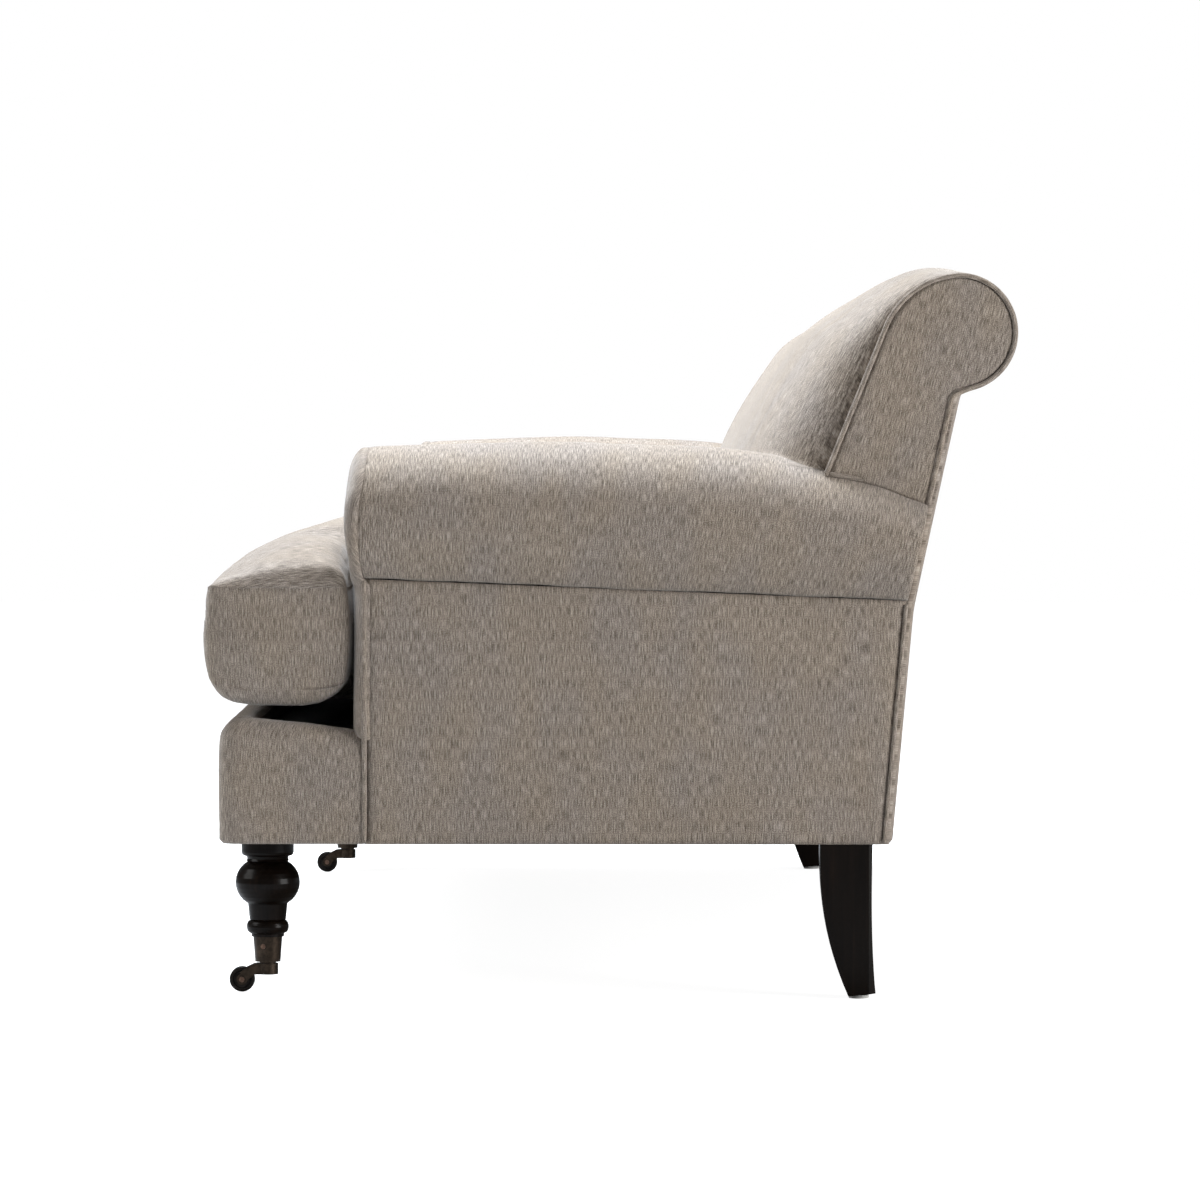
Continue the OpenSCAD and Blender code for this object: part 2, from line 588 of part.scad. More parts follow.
// Seat springs: flat zigzag bands from the front rail to the back rail, hooked in clips
spring_t = 4;
spring_w = 4;
spring_half = 21;
spring_pitch = 38;
spring_count = 10;
spring_set_in = 180;
springs_span = 2 * (arm_in_x - spring_set_in);
clip_l = 30;
clip_w = 64;
clip_wall = 4;
spring_z = rail_top_z + clip_wall;
spring_y0 = front_rail_y + rail_t / 2;
spring_y1 = back_rail_y + rail_t / 2;
wave_shares = [0, 1, 1, 0, -1, -1];
wave_bend_share = 1.25;
wave_step_shares = [0, 0.12, 0.38, 0.5, 0.62, 0.88];
function spring_xs() = [for (i = [0:spring_count - 1]) springs_span * (i / (spring_count - 1) - 0.5)];
module spring_band() {
    waves = floor((spring_y1 - spring_y0) / spring_pitch);
    pitch = (spring_y1 - spring_y0) / waves;
    path = [for (w = [0:waves - 1], j = [0:len(wave_shares) - 1])
        [spring_half * wave_shares[j], spring_y0 + pitch * (w + wave_step_shares[j])]];
    n = len(path);
    normal = [for (i = [0:n - 1]) let (a = path[max(0, i - 1)], b = path[min(n - 1, i + 1)], d = b - a)
        [-d[1], d[0]] / norm(d)];
    widen = [for (i = [0:n - 1]) i % 3 == 0 ? 1 : wave_bend_share];
    linear_extrude(spring_t) polygon(concat(
        [for (i = [0:n - 1]) path[i] + normal[i] * spring_w / 2 * widen[i]],
        [for (i = [n - 1:-1:0]) path[i] - normal[i] * spring_w / 2 * widen[i]]));
}
module seat_springs() {
    for (x = spring_xs()) color(spring_steel) translate([x, 0, spring_z]) spring_band();
}
module spring_clips() {
    for (x = spring_xs(), y = [spring_y0 - clip_l / 4, spring_y1 + clip_l / 4 - spring_pitch / 2])
        color(spring_steel) translate([x - clip_w / 2, y - clip_l / 4, rail_top_z])
            cube([clip_w, clip_l / 2, clip_wall]);
}

// Turned front leg: a revolved profile of disc, neck, bulb, stem and ring
leg_disc_r = 31.7;
leg_neck_r = 25.7;
leg_stem_r = 23.8;
leg_stem_low_r = 22;
leg_ring_r = 25.5;
leg_foot_r = 19.7;
disc_h = 21;
neck_h1 = 3;
neck_h2 = 3.6;
disc_low = base_z - disc_h;
neck_mid = disc_low - neck_h1;
bulb_top = neck_mid - neck_h2;
bulb_low = 107.7;
stem_low = 88.4;
ring_top = 86.9;
ring_low = 71.7;
cup_top = 67.5;
cup_low = 36.9;
turn_steps = 10;
function swell_arc(r0, r1, z0, z1, rise) = [for (i = [0:turn_steps])
    let (t = i / turn_steps) [mix(r0, r1, t) + rise * sin(180 * t), mix(z0, z1, t)]];
function bead(r, rise, z0, z1) = [for (i = [0:turn_steps])
    let (a = -90 + 180 * i / turn_steps) [r + rise * cos(a), (z0 + z1) / 2 + (z0 - z1) / 2 * -sin(a)]];
function bulb_profile() = let (
        half = (bulb_top - bulb_low) / 2,
        rise = bulb_r - leg_neck_r + bulb_sink,
        r = (half * half + rise * rise) / (2 * rise),
        reach = asin(half / r))
    [for (i = [0:turn_steps]) let (a = reach * (1 - 2 * i / turn_steps))
        [bulb_r - r + r * cos(a), (bulb_top + bulb_low) / 2 + r * sin(a)]];
leg_gap = 1;
bulb_sink = 1.5;
module front_leg(left) {
    disc_round = 5;
    disc_in = leg_disc_r - disc_round;
    profile = concat(
        [[0, base_z], [disc_in, base_z]],
        [for (a = [60:-30:0]) [disc_in + disc_round * cos(a), base_z - disc_round + disc_round * sin(a)]],
        [for (a = [0:-30:-60]) [disc_in + disc_round * cos(a), disc_low + disc_round + disc_round * sin(a)]],
        [[leg_neck_r, disc_low], [leg_neck_r - leg_gap, neck_mid], [leg_neck_r, bulb_top + leg_gap]],
        bulb_profile(),
        [[leg_stem_r, bulb_low - leg_gap], [leg_stem_low_r, stem_low]],
        [for (i = [0:turn_steps]) let (a = 90 - 180 * i / turn_steps)
            [leg_stem_low_r - leg_gap + (leg_ring_r - leg_stem_low_r + leg_gap) * cos(a),
             (ring_top + ring_low) / 2 + (ring_top - ring_low) / 2 * sin(a)]],
        [[leg_foot_r, ring_low - leg_gap], [leg_foot_r, cup_top], [cup_top_r - cup_wall - leg_fit, cup_top],
         [cup_low_r - cup_wall - leg_fit, cup_low + cup_wall + leg_fit], [0, cup_low + cup_wall + leg_fit]]);
    color(ebonised) on_side(left) translate([front_leg_x, front_leg_y, 0]) difference() {
        rotate_extrude($fn = 64) polygon(profile);
        translate([0, 0, base_z - leg_bolt_down])
            cylinder(r = leg_bolt_r, h = leg_bolt_down + over, $fn = 32);
        cup_screw_places() screw_hole();
    }
}
module leg_bolts() {
    for (s = [-1, 1], q = [[front_leg_x, front_leg_y], [sabre_x, sabre_y]])
        color(spring_steel) translate([s * q[0], q[1], base_z - leg_bolt_down])
            cylinder(r = leg_bolt_r, h = leg_bolt_down + leg_bolt_up - over, $fn = 32);
}

// Caster cup: a tapered socket on the leg's foot, with the pivot pin riveted into its base
cup_top_r = 17.6;
cup_low_r = 15.3;
cup_wall = 1.6;
leg_fit = 0.05;
pivot_r = 4;
pivot_fit = 0.06;
pivot_head_r = 6.5;
pivot_head_t = 2.2;
neck_r = 10;
neck_h = 2.2;
screw_z = 56;
screw_r = 1.5;
screw_l = 12;
screw_head_r = 3;
screw_head_t = 1.2;
screw_seat = 0.6;
screw_turns = [-16, 164];
hub_top = cup_low - neck_h - lie;
hub_h = 13;
hub_low = hub_top - hub_h;
function cup_r(z) = mix(cup_low_r, cup_top_r, (z - cup_low) / (cup_top - cup_low));
module cup_screw_places() {
    for (a = screw_turns) rotate([0, 0, a]) translate([cup_r(screw_z) - screw_seat, 0, screw_z])
        rotate([0, 90, 0]) children();
}
module screw_hole() {
    translate([0, 0, -screw_l]) cylinder(r = screw_r, h = screw_l + over, $fn = 24);
}
module caster_cup(left) {
    color(bronze) on_side(left) translate([front_leg_x, front_leg_y, 0]) {
        difference() {
            rotate_extrude($fn = 64) polygon([[0, cup_low], [cup_low_r, cup_low], [cup_top_r, cup_top],
                [cup_top_r - cup_wall, cup_top], [cup_low_r - cup_wall, cup_low + cup_wall],
                [0, cup_low + cup_wall]]);
            cup_screw_places() {
                screw_hole();
                cylinder(r = screw_head_r + leg_fit, h = screw_head_t + 2 * over, $fn = 32);
            }
        }
        rotate_extrude($fn = 64) polygon([[0, hub_low + lie], [pivot_head_r, hub_low + lie],
            [pivot_head_r, hub_low + pivot_head_t], [pivot_r, hub_low + pivot_head_t],
            [pivot_r, cup_low - neck_h], [neck_r, cup_low - neck_h], [neck_r, cup_low], [0, cup_low]]);
    }
}
module caster_screws() {
    for (s = [true, false]) color(copper) on_side(s) translate([front_leg_x, front_leg_y, 0])
        cup_screw_places() {
            cylinder(r = screw_head_r, h = screw_head_t, $fn = 32);
            translate([0, 0, -screw_l]) cylinder(r = screw_r, h = screw_l, $fn = 24);
        }
}

// Caster horn: a hub on the pivot pin and two curved cheeks that reach forward and down to the axle
axle_z = wheel_d / 2;
axle_r = 2.2;
axle_fit = 0.05;
hub_r = 12.5;
cheek_t = 3;
cheek_gap = 0.6;
cheek_boss_r = 6.5;
axle_head_r = 3.4;
axle_head_t = 1.2;
cheek_x = wheel_w / 2 + cheek_gap;
horn_upper_shares = [[0, 1], [0.55, 0.97], [0.82, 0.76], [1.08, 0.42]];
horn_lower_shares = [[0.86, -0.2], [0.68, 0.1], [0.5, 0.3], [0.3, 0.36], [0, 0.36]];
bridge_shares = [0.47, 0.1];
module caster_horn(left) {
    function horn_point(q) = [-q[0] * caster_trail, mix(axle_z, hub_top, q[1])];
    outline = [for (q = concat(horn_upper_shares, horn_lower_shares)) horn_point(q)];
    color(bronze) on_side(left) translate([front_leg_x, front_leg_y, 0]) difference() {
        union() {
            translate([0, 0, hub_low]) cylinder(r = hub_r, h = hub_h, $fn = 48);
            translate([-cheek_x - cheek_t, -bridge_shares[0] * caster_trail, hub_low])
                cube([2 * (cheek_x + cheek_t), (bridge_shares[0] - bridge_shares[1]) * caster_trail, hub_h]);
            for (x = [-cheek_x - cheek_t, cheek_x]) translate([x, 0, 0]) {
                rotate([90, 0, 90]) linear_extrude(cheek_t) polygon(outline);
                translate([0, -caster_trail, axle_z]) rotate([0, 90, 0])
                    cylinder(r = cheek_boss_r, h = cheek_t, $fn = 48);
            }
        }
        translate([0, 0, hub_low - over]) cylinder(r = pivot_r + pivot_fit, h = hub_h + 2 * over, $fn = 48);
        translate([0, 0, hub_low - over])
            cylinder(r = pivot_head_r + pivot_fit, h = pivot_head_t + lie + over, $fn = 48);
        translate([-cheek_x - cheek_t - over, -caster_trail, axle_z]) rotate([0, 90, 0])
            cylinder(r = axle_r, h = 2 * (cheek_x + cheek_t + over), $fn = 32);
    }
}
module caster_axle(left) {
    reach = cheek_x + cheek_t;
    color(worn_bronze) on_side(left) translate([front_leg_x, front_leg_y - caster_trail, axle_z])
        rotate([0, 90, 0]) {
            translate([0, 0, -reach]) cylinder(r = axle_r, h = 2 * reach, $fn = 32);
            translate([0, 0, -reach - axle_head_t]) cylinder(r = axle_head_r, h = axle_head_t, $fn = 32);
            translate([0, 0, reach]) cylinder(r = axle_head_r, h = axle_head_t, $fn = 32);
        }
}
wheel_hub_r = 5.5;
wheel_rim_r = 11;
wheel_dish = 1.6;
tread_round = 2.5;
module caster_wheel(left) {
    r = wheel_d / 2;
    w = wheel_w / 2;
    bore = axle_r + axle_fit;
    tread_r = r - tread_round;
    tread = [for (a = [90:-30:0]) [tread_r + tread_round * cos(a), w - tread_round + tread_round * sin(a)]];
    upper = concat([[bore, w], [wheel_hub_r, w], [wheel_hub_r + over, w - wheel_dish],
        [wheel_rim_r - over, w - wheel_dish], [wheel_rim_r, w]], tread);
    lower = [for (i = [len(upper) - 1:-1:0]) [upper[i][0], -upper[i][1]]];
    color(bronze) on_side(left) translate([front_leg_x, front_leg_y - caster_trail, axle_z])
        rotate([0, 90, 0]) rotate_extrude($fn = 64) polygon(concat(upper, lower));
}

// Sabre leg: straight at the back, swept at the front, with bevelled rear edges
sabre_top_d = 63;
sabre_foot_d = 33;
sabre_set_in = 23.5;
sabre_flare = 4;
sabre_bevel = 6;
sabre_steps = 12;
sabre_power = 2.4;
sabre_hollow_share = 0.3;
glide_r = 12;
glide_h = 5;
glide_in = 1;
sabre_x = half_w - panel_t / 3 - sabre_w / 2;
sabre_back_y = rear_foot_y - sabre_set_in;
sabre_y = sabre_back_y - sabre_top_d / 2;
sabre_front_y = sabre_back_y - sabre_top_d;
sabre_sweep = sabre_top_d - sabre_foot_d + sabre_flare;
foot_round = 3;
module rear_leg(left) {
    h = base_z - glide_h + glide_in;
    foot_z = glide_h - glide_in;
    half = sabre_w / 2;
    wide = half + over;
    front_cut = sabre_front_y - over;
    back_cut = sabre_back_y + over + sabre_flare;
    bevel_y = sabre_back_y - sabre_bevel;
    front = [for (i = [0:sabre_steps]) let (t = i / sabre_steps)
        [sabre_front_y + sabre_sweep * pow(t, sabre_power), base_z - h * t]];
    rear = [for (i = [sabre_steps:-1:0]) let (t = i / sabre_steps)
        [sabre_back_y + sabre_flare * (pow(t, 3) - sabre_hollow_share * sin(180 * t)),
         base_z - h * t + (i == sabre_steps ? foot_round : 0)]];
    color(ebonised) on_side(left) translate([sabre_x, 0, 0]) difference() {
        intersection() {
            translate([-half, 0, 0]) rotate([90, 0, 90]) linear_extrude(sabre_w) polygon(concat(front, rear));
            translate([0, 0, foot_z - over]) linear_extrude(h + 2 * over)
                polygon([[-wide, front_cut], [wide, front_cut], [wide, bevel_y],
                    [half - sabre_bevel, back_cut], [sabre_bevel - half, back_cut], [-wide, bevel_y]]);
        }
        translate([0, sabre_y, base_z - leg_bolt_down])
            cylinder(r = leg_bolt_r, h = leg_bolt_down + over, $fn = 32);
    }
}
module rear_glide(left) {
    y = sabre_back_y + sabre_flare - sabre_foot_d / 2 - foot_round;
    color(nylon) on_side(left) translate([sabre_x, y, 0])
        cylinder(r = glide_r, h = glide_h - glide_in, $fn = 48);
}

front_rail();
back_rail();
side_rail(true);  // side_rail_left
side_rail(false);  // side_rail_right
cross_rails();
corner_blocks();
arm_post(true);  // arm_post_left
arm_post(false);  // arm_post_right
arm_board(true);  // arm_board_left
arm_board(false);  // arm_board_right
back_post(post_x);  // back_post_left
back_post(0);  // back_post_centre
back_post(-post_x);  // back_post_right
scroll_rail();
back_slats();
seat_springs();
spring_clips();
deck_cloth();
dust_cover();
front_border();
arm_pad(true);  // arm_pad_left
arm_pad(false);  // arm_pad_right
arm_facing(true);  // arm_facing_left
arm_facing(false);  // arm_facing_right
outer_panel(true);  // outer_panel_left
outer_panel(false);  // outer_panel_right
inside_back();
outside_back();
back_facing(true);  // back_facing_left
back_facing(false);  // back_facing_right
seat_cushion(1);  // seat_cushion_left
seat_cushion(0);  // seat_cushion_centre
seat_cushion(-1);  // seat_cushion_right
front_leg(true);  // front_leg_left
front_leg(false);  // front_leg_right
caster_cup(true);  // caster_cup_left
caster_cup(false);  // caster_cup_right
caster_horn(true);  // caster_horn_left
caster_horn(false);  // caster_horn_right
caster_wheel(true);  // caster_wheel_left
caster_wheel(false);  // caster_wheel_right
caster_axle(true);  // caster_axle_left
caster_axle(false);  // caster_axle_right
caster_screws();
rear_leg(true);  // rear_leg_left
rear_leg(false);  // rear_leg_right
rear_glide(true);  // rear_glide_left
rear_glide(false);  // rear_glide_right
leg_bolts();
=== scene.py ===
"""Looks of a lawson sofa with rolled arms, a scrolled back, loose cushions and casters."""
import math

import bmesh
import bpy
import numpy as np
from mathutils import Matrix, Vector, kdtree, noise


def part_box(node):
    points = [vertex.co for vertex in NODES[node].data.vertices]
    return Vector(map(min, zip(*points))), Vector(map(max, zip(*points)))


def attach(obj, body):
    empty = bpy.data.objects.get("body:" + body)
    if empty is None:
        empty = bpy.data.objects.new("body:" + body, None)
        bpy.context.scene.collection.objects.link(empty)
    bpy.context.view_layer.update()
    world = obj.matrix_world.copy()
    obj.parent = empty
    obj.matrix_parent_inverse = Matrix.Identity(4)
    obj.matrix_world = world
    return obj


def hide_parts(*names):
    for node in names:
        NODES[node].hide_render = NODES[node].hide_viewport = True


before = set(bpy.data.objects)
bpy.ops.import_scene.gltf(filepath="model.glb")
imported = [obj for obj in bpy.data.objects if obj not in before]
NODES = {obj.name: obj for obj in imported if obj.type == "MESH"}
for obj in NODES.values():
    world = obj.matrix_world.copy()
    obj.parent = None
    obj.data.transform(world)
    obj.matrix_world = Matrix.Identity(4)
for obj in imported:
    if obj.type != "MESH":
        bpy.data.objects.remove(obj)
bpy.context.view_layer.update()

SIDES = (("left", 1), ("right", -1))
MM = 0.001

# Main places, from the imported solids
PANEL_LOW, PANEL_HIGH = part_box("outer_panel_left")
PAD_LOW, PAD_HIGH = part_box("arm_pad_left")
FACING_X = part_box("back_facing_left")[1].x
HALF_W = PANEL_HIGH.x
PANEL_T = PANEL_HIGH.x - PANEL_LOW.x
ARM_IN_X = PAD_LOW.x
ARM_OUT_X = PAD_HIGH.x
ARM_FRONT_Y = PAD_LOW.y
BASE_Z = PANEL_LOW.z
DECK_Z = PAD_LOW.z
BORDER_FRONT_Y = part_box("front_border")[0].y
OUTSIDE_T = 10 * MM
REAR_FOOT_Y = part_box("outside_back")[0].y + OUTSIDE_T

# Sizes of the profiles, the same as the solids have
ARM_H = 662 * MM
SEAM_H = 503 * MM
SEAM_FALL = 26 * MM
LOW_LEAN = math.radians(5.2)
HIGH_LEAN = math.radians(12.2)
BEND_Z = BASE_Z + 282 * MM
SCROLL_C = np.array([REAR_FOOT_Y + 77.8 * MM, 797.3 * MM])
SCROLL_R = 68.2 * MM
FACE_LEAN = math.radians(22)
FACE_ARC_R = 100 * MM
FACE_ARC_C = np.array([SCROLL_C[0] + 6 * MM, SCROLL_C[1] + SCROLL_R - FACE_ARC_R])
FILLET_R = 16 * MM
BACK_CROWN = 105 * MM
ROLL_A = (ARM_OUT_X - ARM_IN_X) / 2
ROLL_X = ARM_IN_X + ROLL_A
ROLL_LOW_SHARE = 0.53
SEAM_TURN = -math.acos((HALF_W - ROLL_X) / ROLL_A)
# Rise of the arm's crest along the arm, as a share of the roll's height at its front
CREST = ((0, -0.016), (0.08, 0.003), (0.2, 0.022), (0.35, 0.035), (0.62, -0.015), (0.78, -0.11),
         (0.86, -0.165), (0.93, -0.24), (1, -0.40))
CREST_ROUNDING = 0.03


def read_table(rows, x):
    """Value at a place of a table of (place, value) rows."""
    places, values = np.array(rows, float).T
    return np.interp(x, places, values)


def coords(*parts):
    """Points from their coordinates, each a value or an array."""
    return np.stack(np.broadcast_arrays(*parts), -1)


def rear_y(z):
    """Rear line of the back at a height."""
    return (REAR_FOOT_Y + (np.minimum(z, BEND_Z) - BASE_Z) * math.tan(LOW_LEAN)
            + np.maximum(0, z - BEND_Z) * math.tan(HIGH_LEAN))


def around(centre, radius, degrees):
    a = np.radians(degrees)
    return coords(centre[0] + radius * np.cos(a), centre[1] + radius * np.sin(a))


FACE_TOUCH = around(FACE_ARC_C, FACE_ARC_R, 180 - math.degrees(FACE_LEAN))
# The hollow fillet between the scroll's underside and the rear line
REAR_ALONG = np.array([math.sin(HIGH_LEAN), math.cos(HIGH_LEAN)])
REAR_OUT = np.array([math.cos(HIGH_LEAN), -math.sin(HIGH_LEAN)])
BEND_POINT = np.array([rear_y(BEND_Z), BEND_Z])
FROM_BEND = SCROLL_C - BEND_POINT
FILLET_UP = FROM_BEND @ REAR_ALONG - math.sqrt(
    (SCROLL_R + FILLET_R) ** 2 - (FILLET_R - FROM_BEND @ REAR_OUT) ** 2)
FILLET_C = BEND_POINT + FILLET_UP * REAR_ALONG + FILLET_R * REAR_OUT
FILLET_TURN = math.degrees(math.atan2(FILLET_C[1] - SCROLL_C[1], FILLET_C[0] - SCROLL_C[0]))
REAR_END_Y = rear_y(SEAM_H) - OUTSIDE_T


def face_y(z):
    """Front line of the back's side facing at a height."""
    return FACE_TOUCH[0] - (FACE_TOUCH[1] - z) * math.tan(FACE_LEAN)


def arm_share(y):
    return (y - ARM_FRONT_Y) / (REAR_END_Y - ARM_FRONT_Y)


def arm_y(share):
    return ARM_FRONT_Y + share * (REAR_END_Y - ARM_FRONT_Y)


def slant(share, z):
    """How far an arm leans back with the rear line at a share of its length and a height."""
    return share * (rear_y(z) - rear_y(SEAM_H))


def seam_z(y):
    return SEAM_H - SEAM_FALL * np.clip(arm_share(y), 0, 1)


def crest_z(y):
    places = [arm_share(y) + step * CREST_ROUNDING for step in (-1.5, -0.75, 0, 0.75, 1.5)]
    return ARM_H + (ARM_H - SEAM_H) * (sum(read_table(CREST, place) for place in places) / 5)


def roll_z(y):
    return seam_z(y) + (crest_z(y) - seam_z(y)) * ROLL_LOW_SHARE


def roll_point(y, turn):
    """A point of the arm roll's section at a place along the arm; turn is in radians."""
    middle = roll_z(y)
    up = crest_z(y) - middle
    down = (middle - seam_z(y)) / -math.sin(SEAM_TURN)
    z = middle + np.where(np.sin(turn) >= 0, up, down) * np.sin(turn)
    return coords(ROLL_X + ROLL_A * np.cos(turn), y, z)


def roll_top_z(x, y):
    """Height of the roll's upper half over a place, before the arm's rear is slanted."""
    middle = roll_z(y)
    return middle + (crest_z(y) - middle) * np.sqrt(np.maximum(0, 1 - ((x - ROLL_X) / ROLL_A) ** 2))


def over_arm_z(x, y):
    """Height of the arm's surface under a place, allowing for the slant of its rear end."""
    lean = slant(np.clip(arm_share(y), 0, 1), roll_top_z(x, np.minimum(y, REAR_END_Y)))
    return roll_top_z(x, np.minimum(y - lean, REAR_END_Y))


# Materials

class Nodes:
    """A short way to build a material's node tree."""

    def __init__(self, name):
        self.material = bpy.data.materials.new(name)
        self.material.use_nodes = True
        self.tree = self.material.node_tree
        self.shader = self.tree.nodes["Principled BSDF"]

    def feed(self, socket, value):
        """Links a node's output to a socket, or sets the socket to a plain value."""
        if isinstance(value, bpy.types.NodeSocket):
            self.tree.links.new(value, socket)
        else:
            socket.default_value = value

    def add(self, kind, inputs=None, **settings):
        node = self.tree.nodes.new(kind)
        for key, value in settings.items():
            setattr(node, key, value)
        for key, value in (inputs or {}).items():
            self.feed(node.inputs[key], value)
        return node

    def out(self, kind, output, inputs=None, **settings):
        return self.add("ShaderNode" + kind, inputs, **settings).outputs[output]

    def place(self):
        return self.out("TexCoord", "Object")

    def noise(self, vector, scale, detail, roughness=0.55):
        inputs = {"Vector": vector, "Scale": scale, "Detail": detail, "Roughness": roughness}
        return self.out("TexNoise", "Fac", inputs)

    def stretched_noise(self, vector, scale, detail, roughness=0.55, shift=(0, 0, 0)):
        mapped = self.out("Mapping", "Vector", {"Vector": vector, "Scale": scale, "Location": shift})
        return self.noise(mapped, 1.0, detail, roughness)

    def ribs(self, vector, scale, direction):
        inputs = {"Vector": vector, "Scale": scale, "Distortion": 1.2, "Detail": 1.0}
        return self.out("TexWave", "Fac", inputs, wave_type="BANDS", bands_direction=direction)

    def between(self, value, low, high):
        return self.out("MapRange", "Result", {"Value": value, "To Min": low, "To Max": high})

    def math(self, operation, a, b):
        return self.out("Math", 0, {0: a, 1: b}, operation=operation)

    def weighed(self, *parts):
        """Sum of values times their weights."""
        products = [self.math("MULTIPLY", value, weight) for value, weight in parts]
        total = products[0]
        for product in products[1:]:
            total = self.math("ADD", total, product)
        return total

    def ramp(self, factor, *stops):
        node = self.add("ShaderNodeValToRGB", {"Fac": factor})
        ramp = node.color_ramp
        while len(ramp.elements) < len(stops):
            ramp.elements.new(0.5)
        for element, (place, colour) in zip(ramp.elements, stops):
            element.position = place
            element.color = (*colour, 1)
        return node.outputs["Color"]

    def multiply(self, factor, a, b):
        return self.out("Mix", 2, {0: factor, 6: a, 7: b}, data_type="RGBA", blend_type="MULTIPLY")

    def bump(self, height, distance, strength):
        return self.out("Bump", "Normal", {"Height": height, "Distance": distance, "Strength": strength})

    def set(self, **values):
        for key, value in values.items():
            self.feed(self.shader.inputs[key.replace("_", " ")], value)
        return self.material


def srgb(*triple):
    """Linear colour of an sRGB triple from 0 to 255, for shades above 10."""
    return tuple(((c / 255 + 0.055) / 1.055) ** 2.4 for c in triple)


CLOTH_DARK = srgb(93, 84, 75)
CLOTH_MID = srgb(138, 127, 116)
CLOTH_LIGHT = srgb(179, 168, 156)
CLOTH_WARM = (1.02, 1.0, 0.965)
CLOTH_COOL = (0.985, 0.99, 1.01)
CLOTH_SHADE = (0.80, 0.79, 0.78)
WHITE = (1.0, 1.0, 1.0)
# The yarns' noises: waves a metre across and along the cloth, detail, roughness, shift and weight
YARNS = (((1100, 70, 1), 2.0, 0.6, (0, 0, 0), 0.52), ((420, 26, 1), 2.0, 0.5, (3, 5, 0), 0.07),
         ((1000, 900, 1), 1.0, 0.5, (7, 2, 0), 0.36), ((150, 760, 1), 2.0, 0.6, (7, 2, 0), 0.05))
WARP_RIBS = 180.0
WEFT_RIBS = 150.0


def fabric():
    """Slubby taupe weave: fine upright streaks in two yarn shades over a crossing weft."""
    n = Nodes("upholstery_weave")
    uv = n.out("UVMap", "UV", uv_map="cloth")
    yarn = n.weighed(*((n.stretched_noise(uv, *settings), weight) for *settings, weight in YARNS))
    mottle = n.stretched_noise(uv, (9, 7, 1), 3.0, 0.6)
    tint = n.stretched_noise(uv, (16, 8, 1), 1.0, 0.5, (1, 8, 0))
    colour = n.ramp(yarn, (0.40, CLOTH_DARK), (0.5, CLOTH_MID), (0.61, CLOTH_LIGHT))
    colour = n.multiply(1.0, colour, n.ramp(tint, (0.38, CLOTH_WARM), (0.62, CLOTH_COOL)))
    colour = n.multiply(0.3, colour, n.ramp(mottle, (0.3, CLOTH_SHADE), (0.7, WHITE)))
    weave = n.weighed((n.ribs(uv, WARP_RIBS, "X"), 0.6), (n.ribs(uv, WEFT_RIBS, "Y"), 0.4))
    height = n.weighed((yarn, 1.4), (weave, 0.5))
    return n.set(Base_Color=colour, Roughness=0.93, Specular_IOR_Level=0.15, Sheen_Weight=0.26,
                 Sheen_Roughness=0.45, Normal=n.bump(height, 0.0006, 0.7))


def ebonised():
    """Espresso lacquer over a fine grain that shows through as faint brown."""
    n = Nodes("espresso_lacquer")
    place = n.place()
    grain = n.stretched_noise(place, (160, 160, 9), 5.0, 0.6)
    colour = n.ramp(grain, (0.35, (0.003, 0.0018, 0.0011)), (0.6, (0.0056, 0.0032, 0.002)),
                    (0.8, (0.012, 0.0062, 0.0036)))
    return n.set(Base_Color=colour, Roughness=n.between(n.noise(place, 30.0, 2.0), 0.26, 0.4),
                 Specular_IOR_Level=0.07, Coat_Weight=0.08, Coat_Roughness=0.13,
                 Normal=n.bump(grain, 0.0004, 0.25))


def bronze(name, dark, bright, roughness):
    """Dark patinated metal, rubbed bright in patches."""
    n = Nodes(name)
    place = n.place()
    patina = n.noise(place, 110.0, 4.0, 0.65)
    return n.set(Base_Color=n.ramp(patina, (0.35, dark), (0.75, bright)), Metallic=0.85,
                 Roughness=n.between(patina, roughness + 0.1, roughness - 0.08),
                 Normal=n.bump(n.noise(place, 900.0, 2.0), 0.0002, 0.3))


def two_tone(name, scale, detail, dark, bright, bump=None, **values):
    """A plain material between two shades, each a place on the ramp of its noise and a colour."""
    n = Nodes(name)
    grain = n.stretched_noise(n.place(), scale, *detail)
    if bump:
        values["Normal"] = n.bump(grain, *bump)
    return n.set(Base_Color=n.ramp(grain, dark, bright), **values)


CLOTH = fabric()
BLACK = two_tone("black_cambric", (700, 700, 700), (2.0,), (0.35, (0.006, 0.006, 0.007)),
                 (0.7, (0.02, 0.02, 0.021)), (0.0004, 0.5), Roughness=0.95)
WOOD = ebonised()
BRONZE = bronze("antique_bronze", (0.022, 0.016, 0.011), (0.066, 0.046, 0.032), 0.42)
WHEEL = bronze("bronzed_wheel", (0.010, 0.009, 0.008), (0.028, 0.023, 0.020), 0.45)
COPPER = bronze("copper_head", (0.08, 0.046, 0.033), (0.28, 0.175, 0.125), 0.35)
TIMBER = two_tone("sawn_hardwood", (14, 120, 120), (5.0, 0.6), (0.3, (0.30, 0.17, 0.08)),
                  (0.7, (0.52, 0.35, 0.19)), (0.0006, 0.4), Roughness=0.7)
STEEL = two_tone("spring_wire", (240, 240, 240), (3.0,), (0.3, (0.20, 0.21, 0.22)),
                 (0.7, (0.42, 0.43, 0.45)), Metallic=0.9, Roughness=0.4)
GLIDE = two_tone("glide_nylon", (300, 300, 300), (3.0,), (0.3, (0.52, 0.51, 0.49)),
                 (0.7, (0.72, 0.71, 0.69)), (0.0002, 0.2), Roughness=0.5)
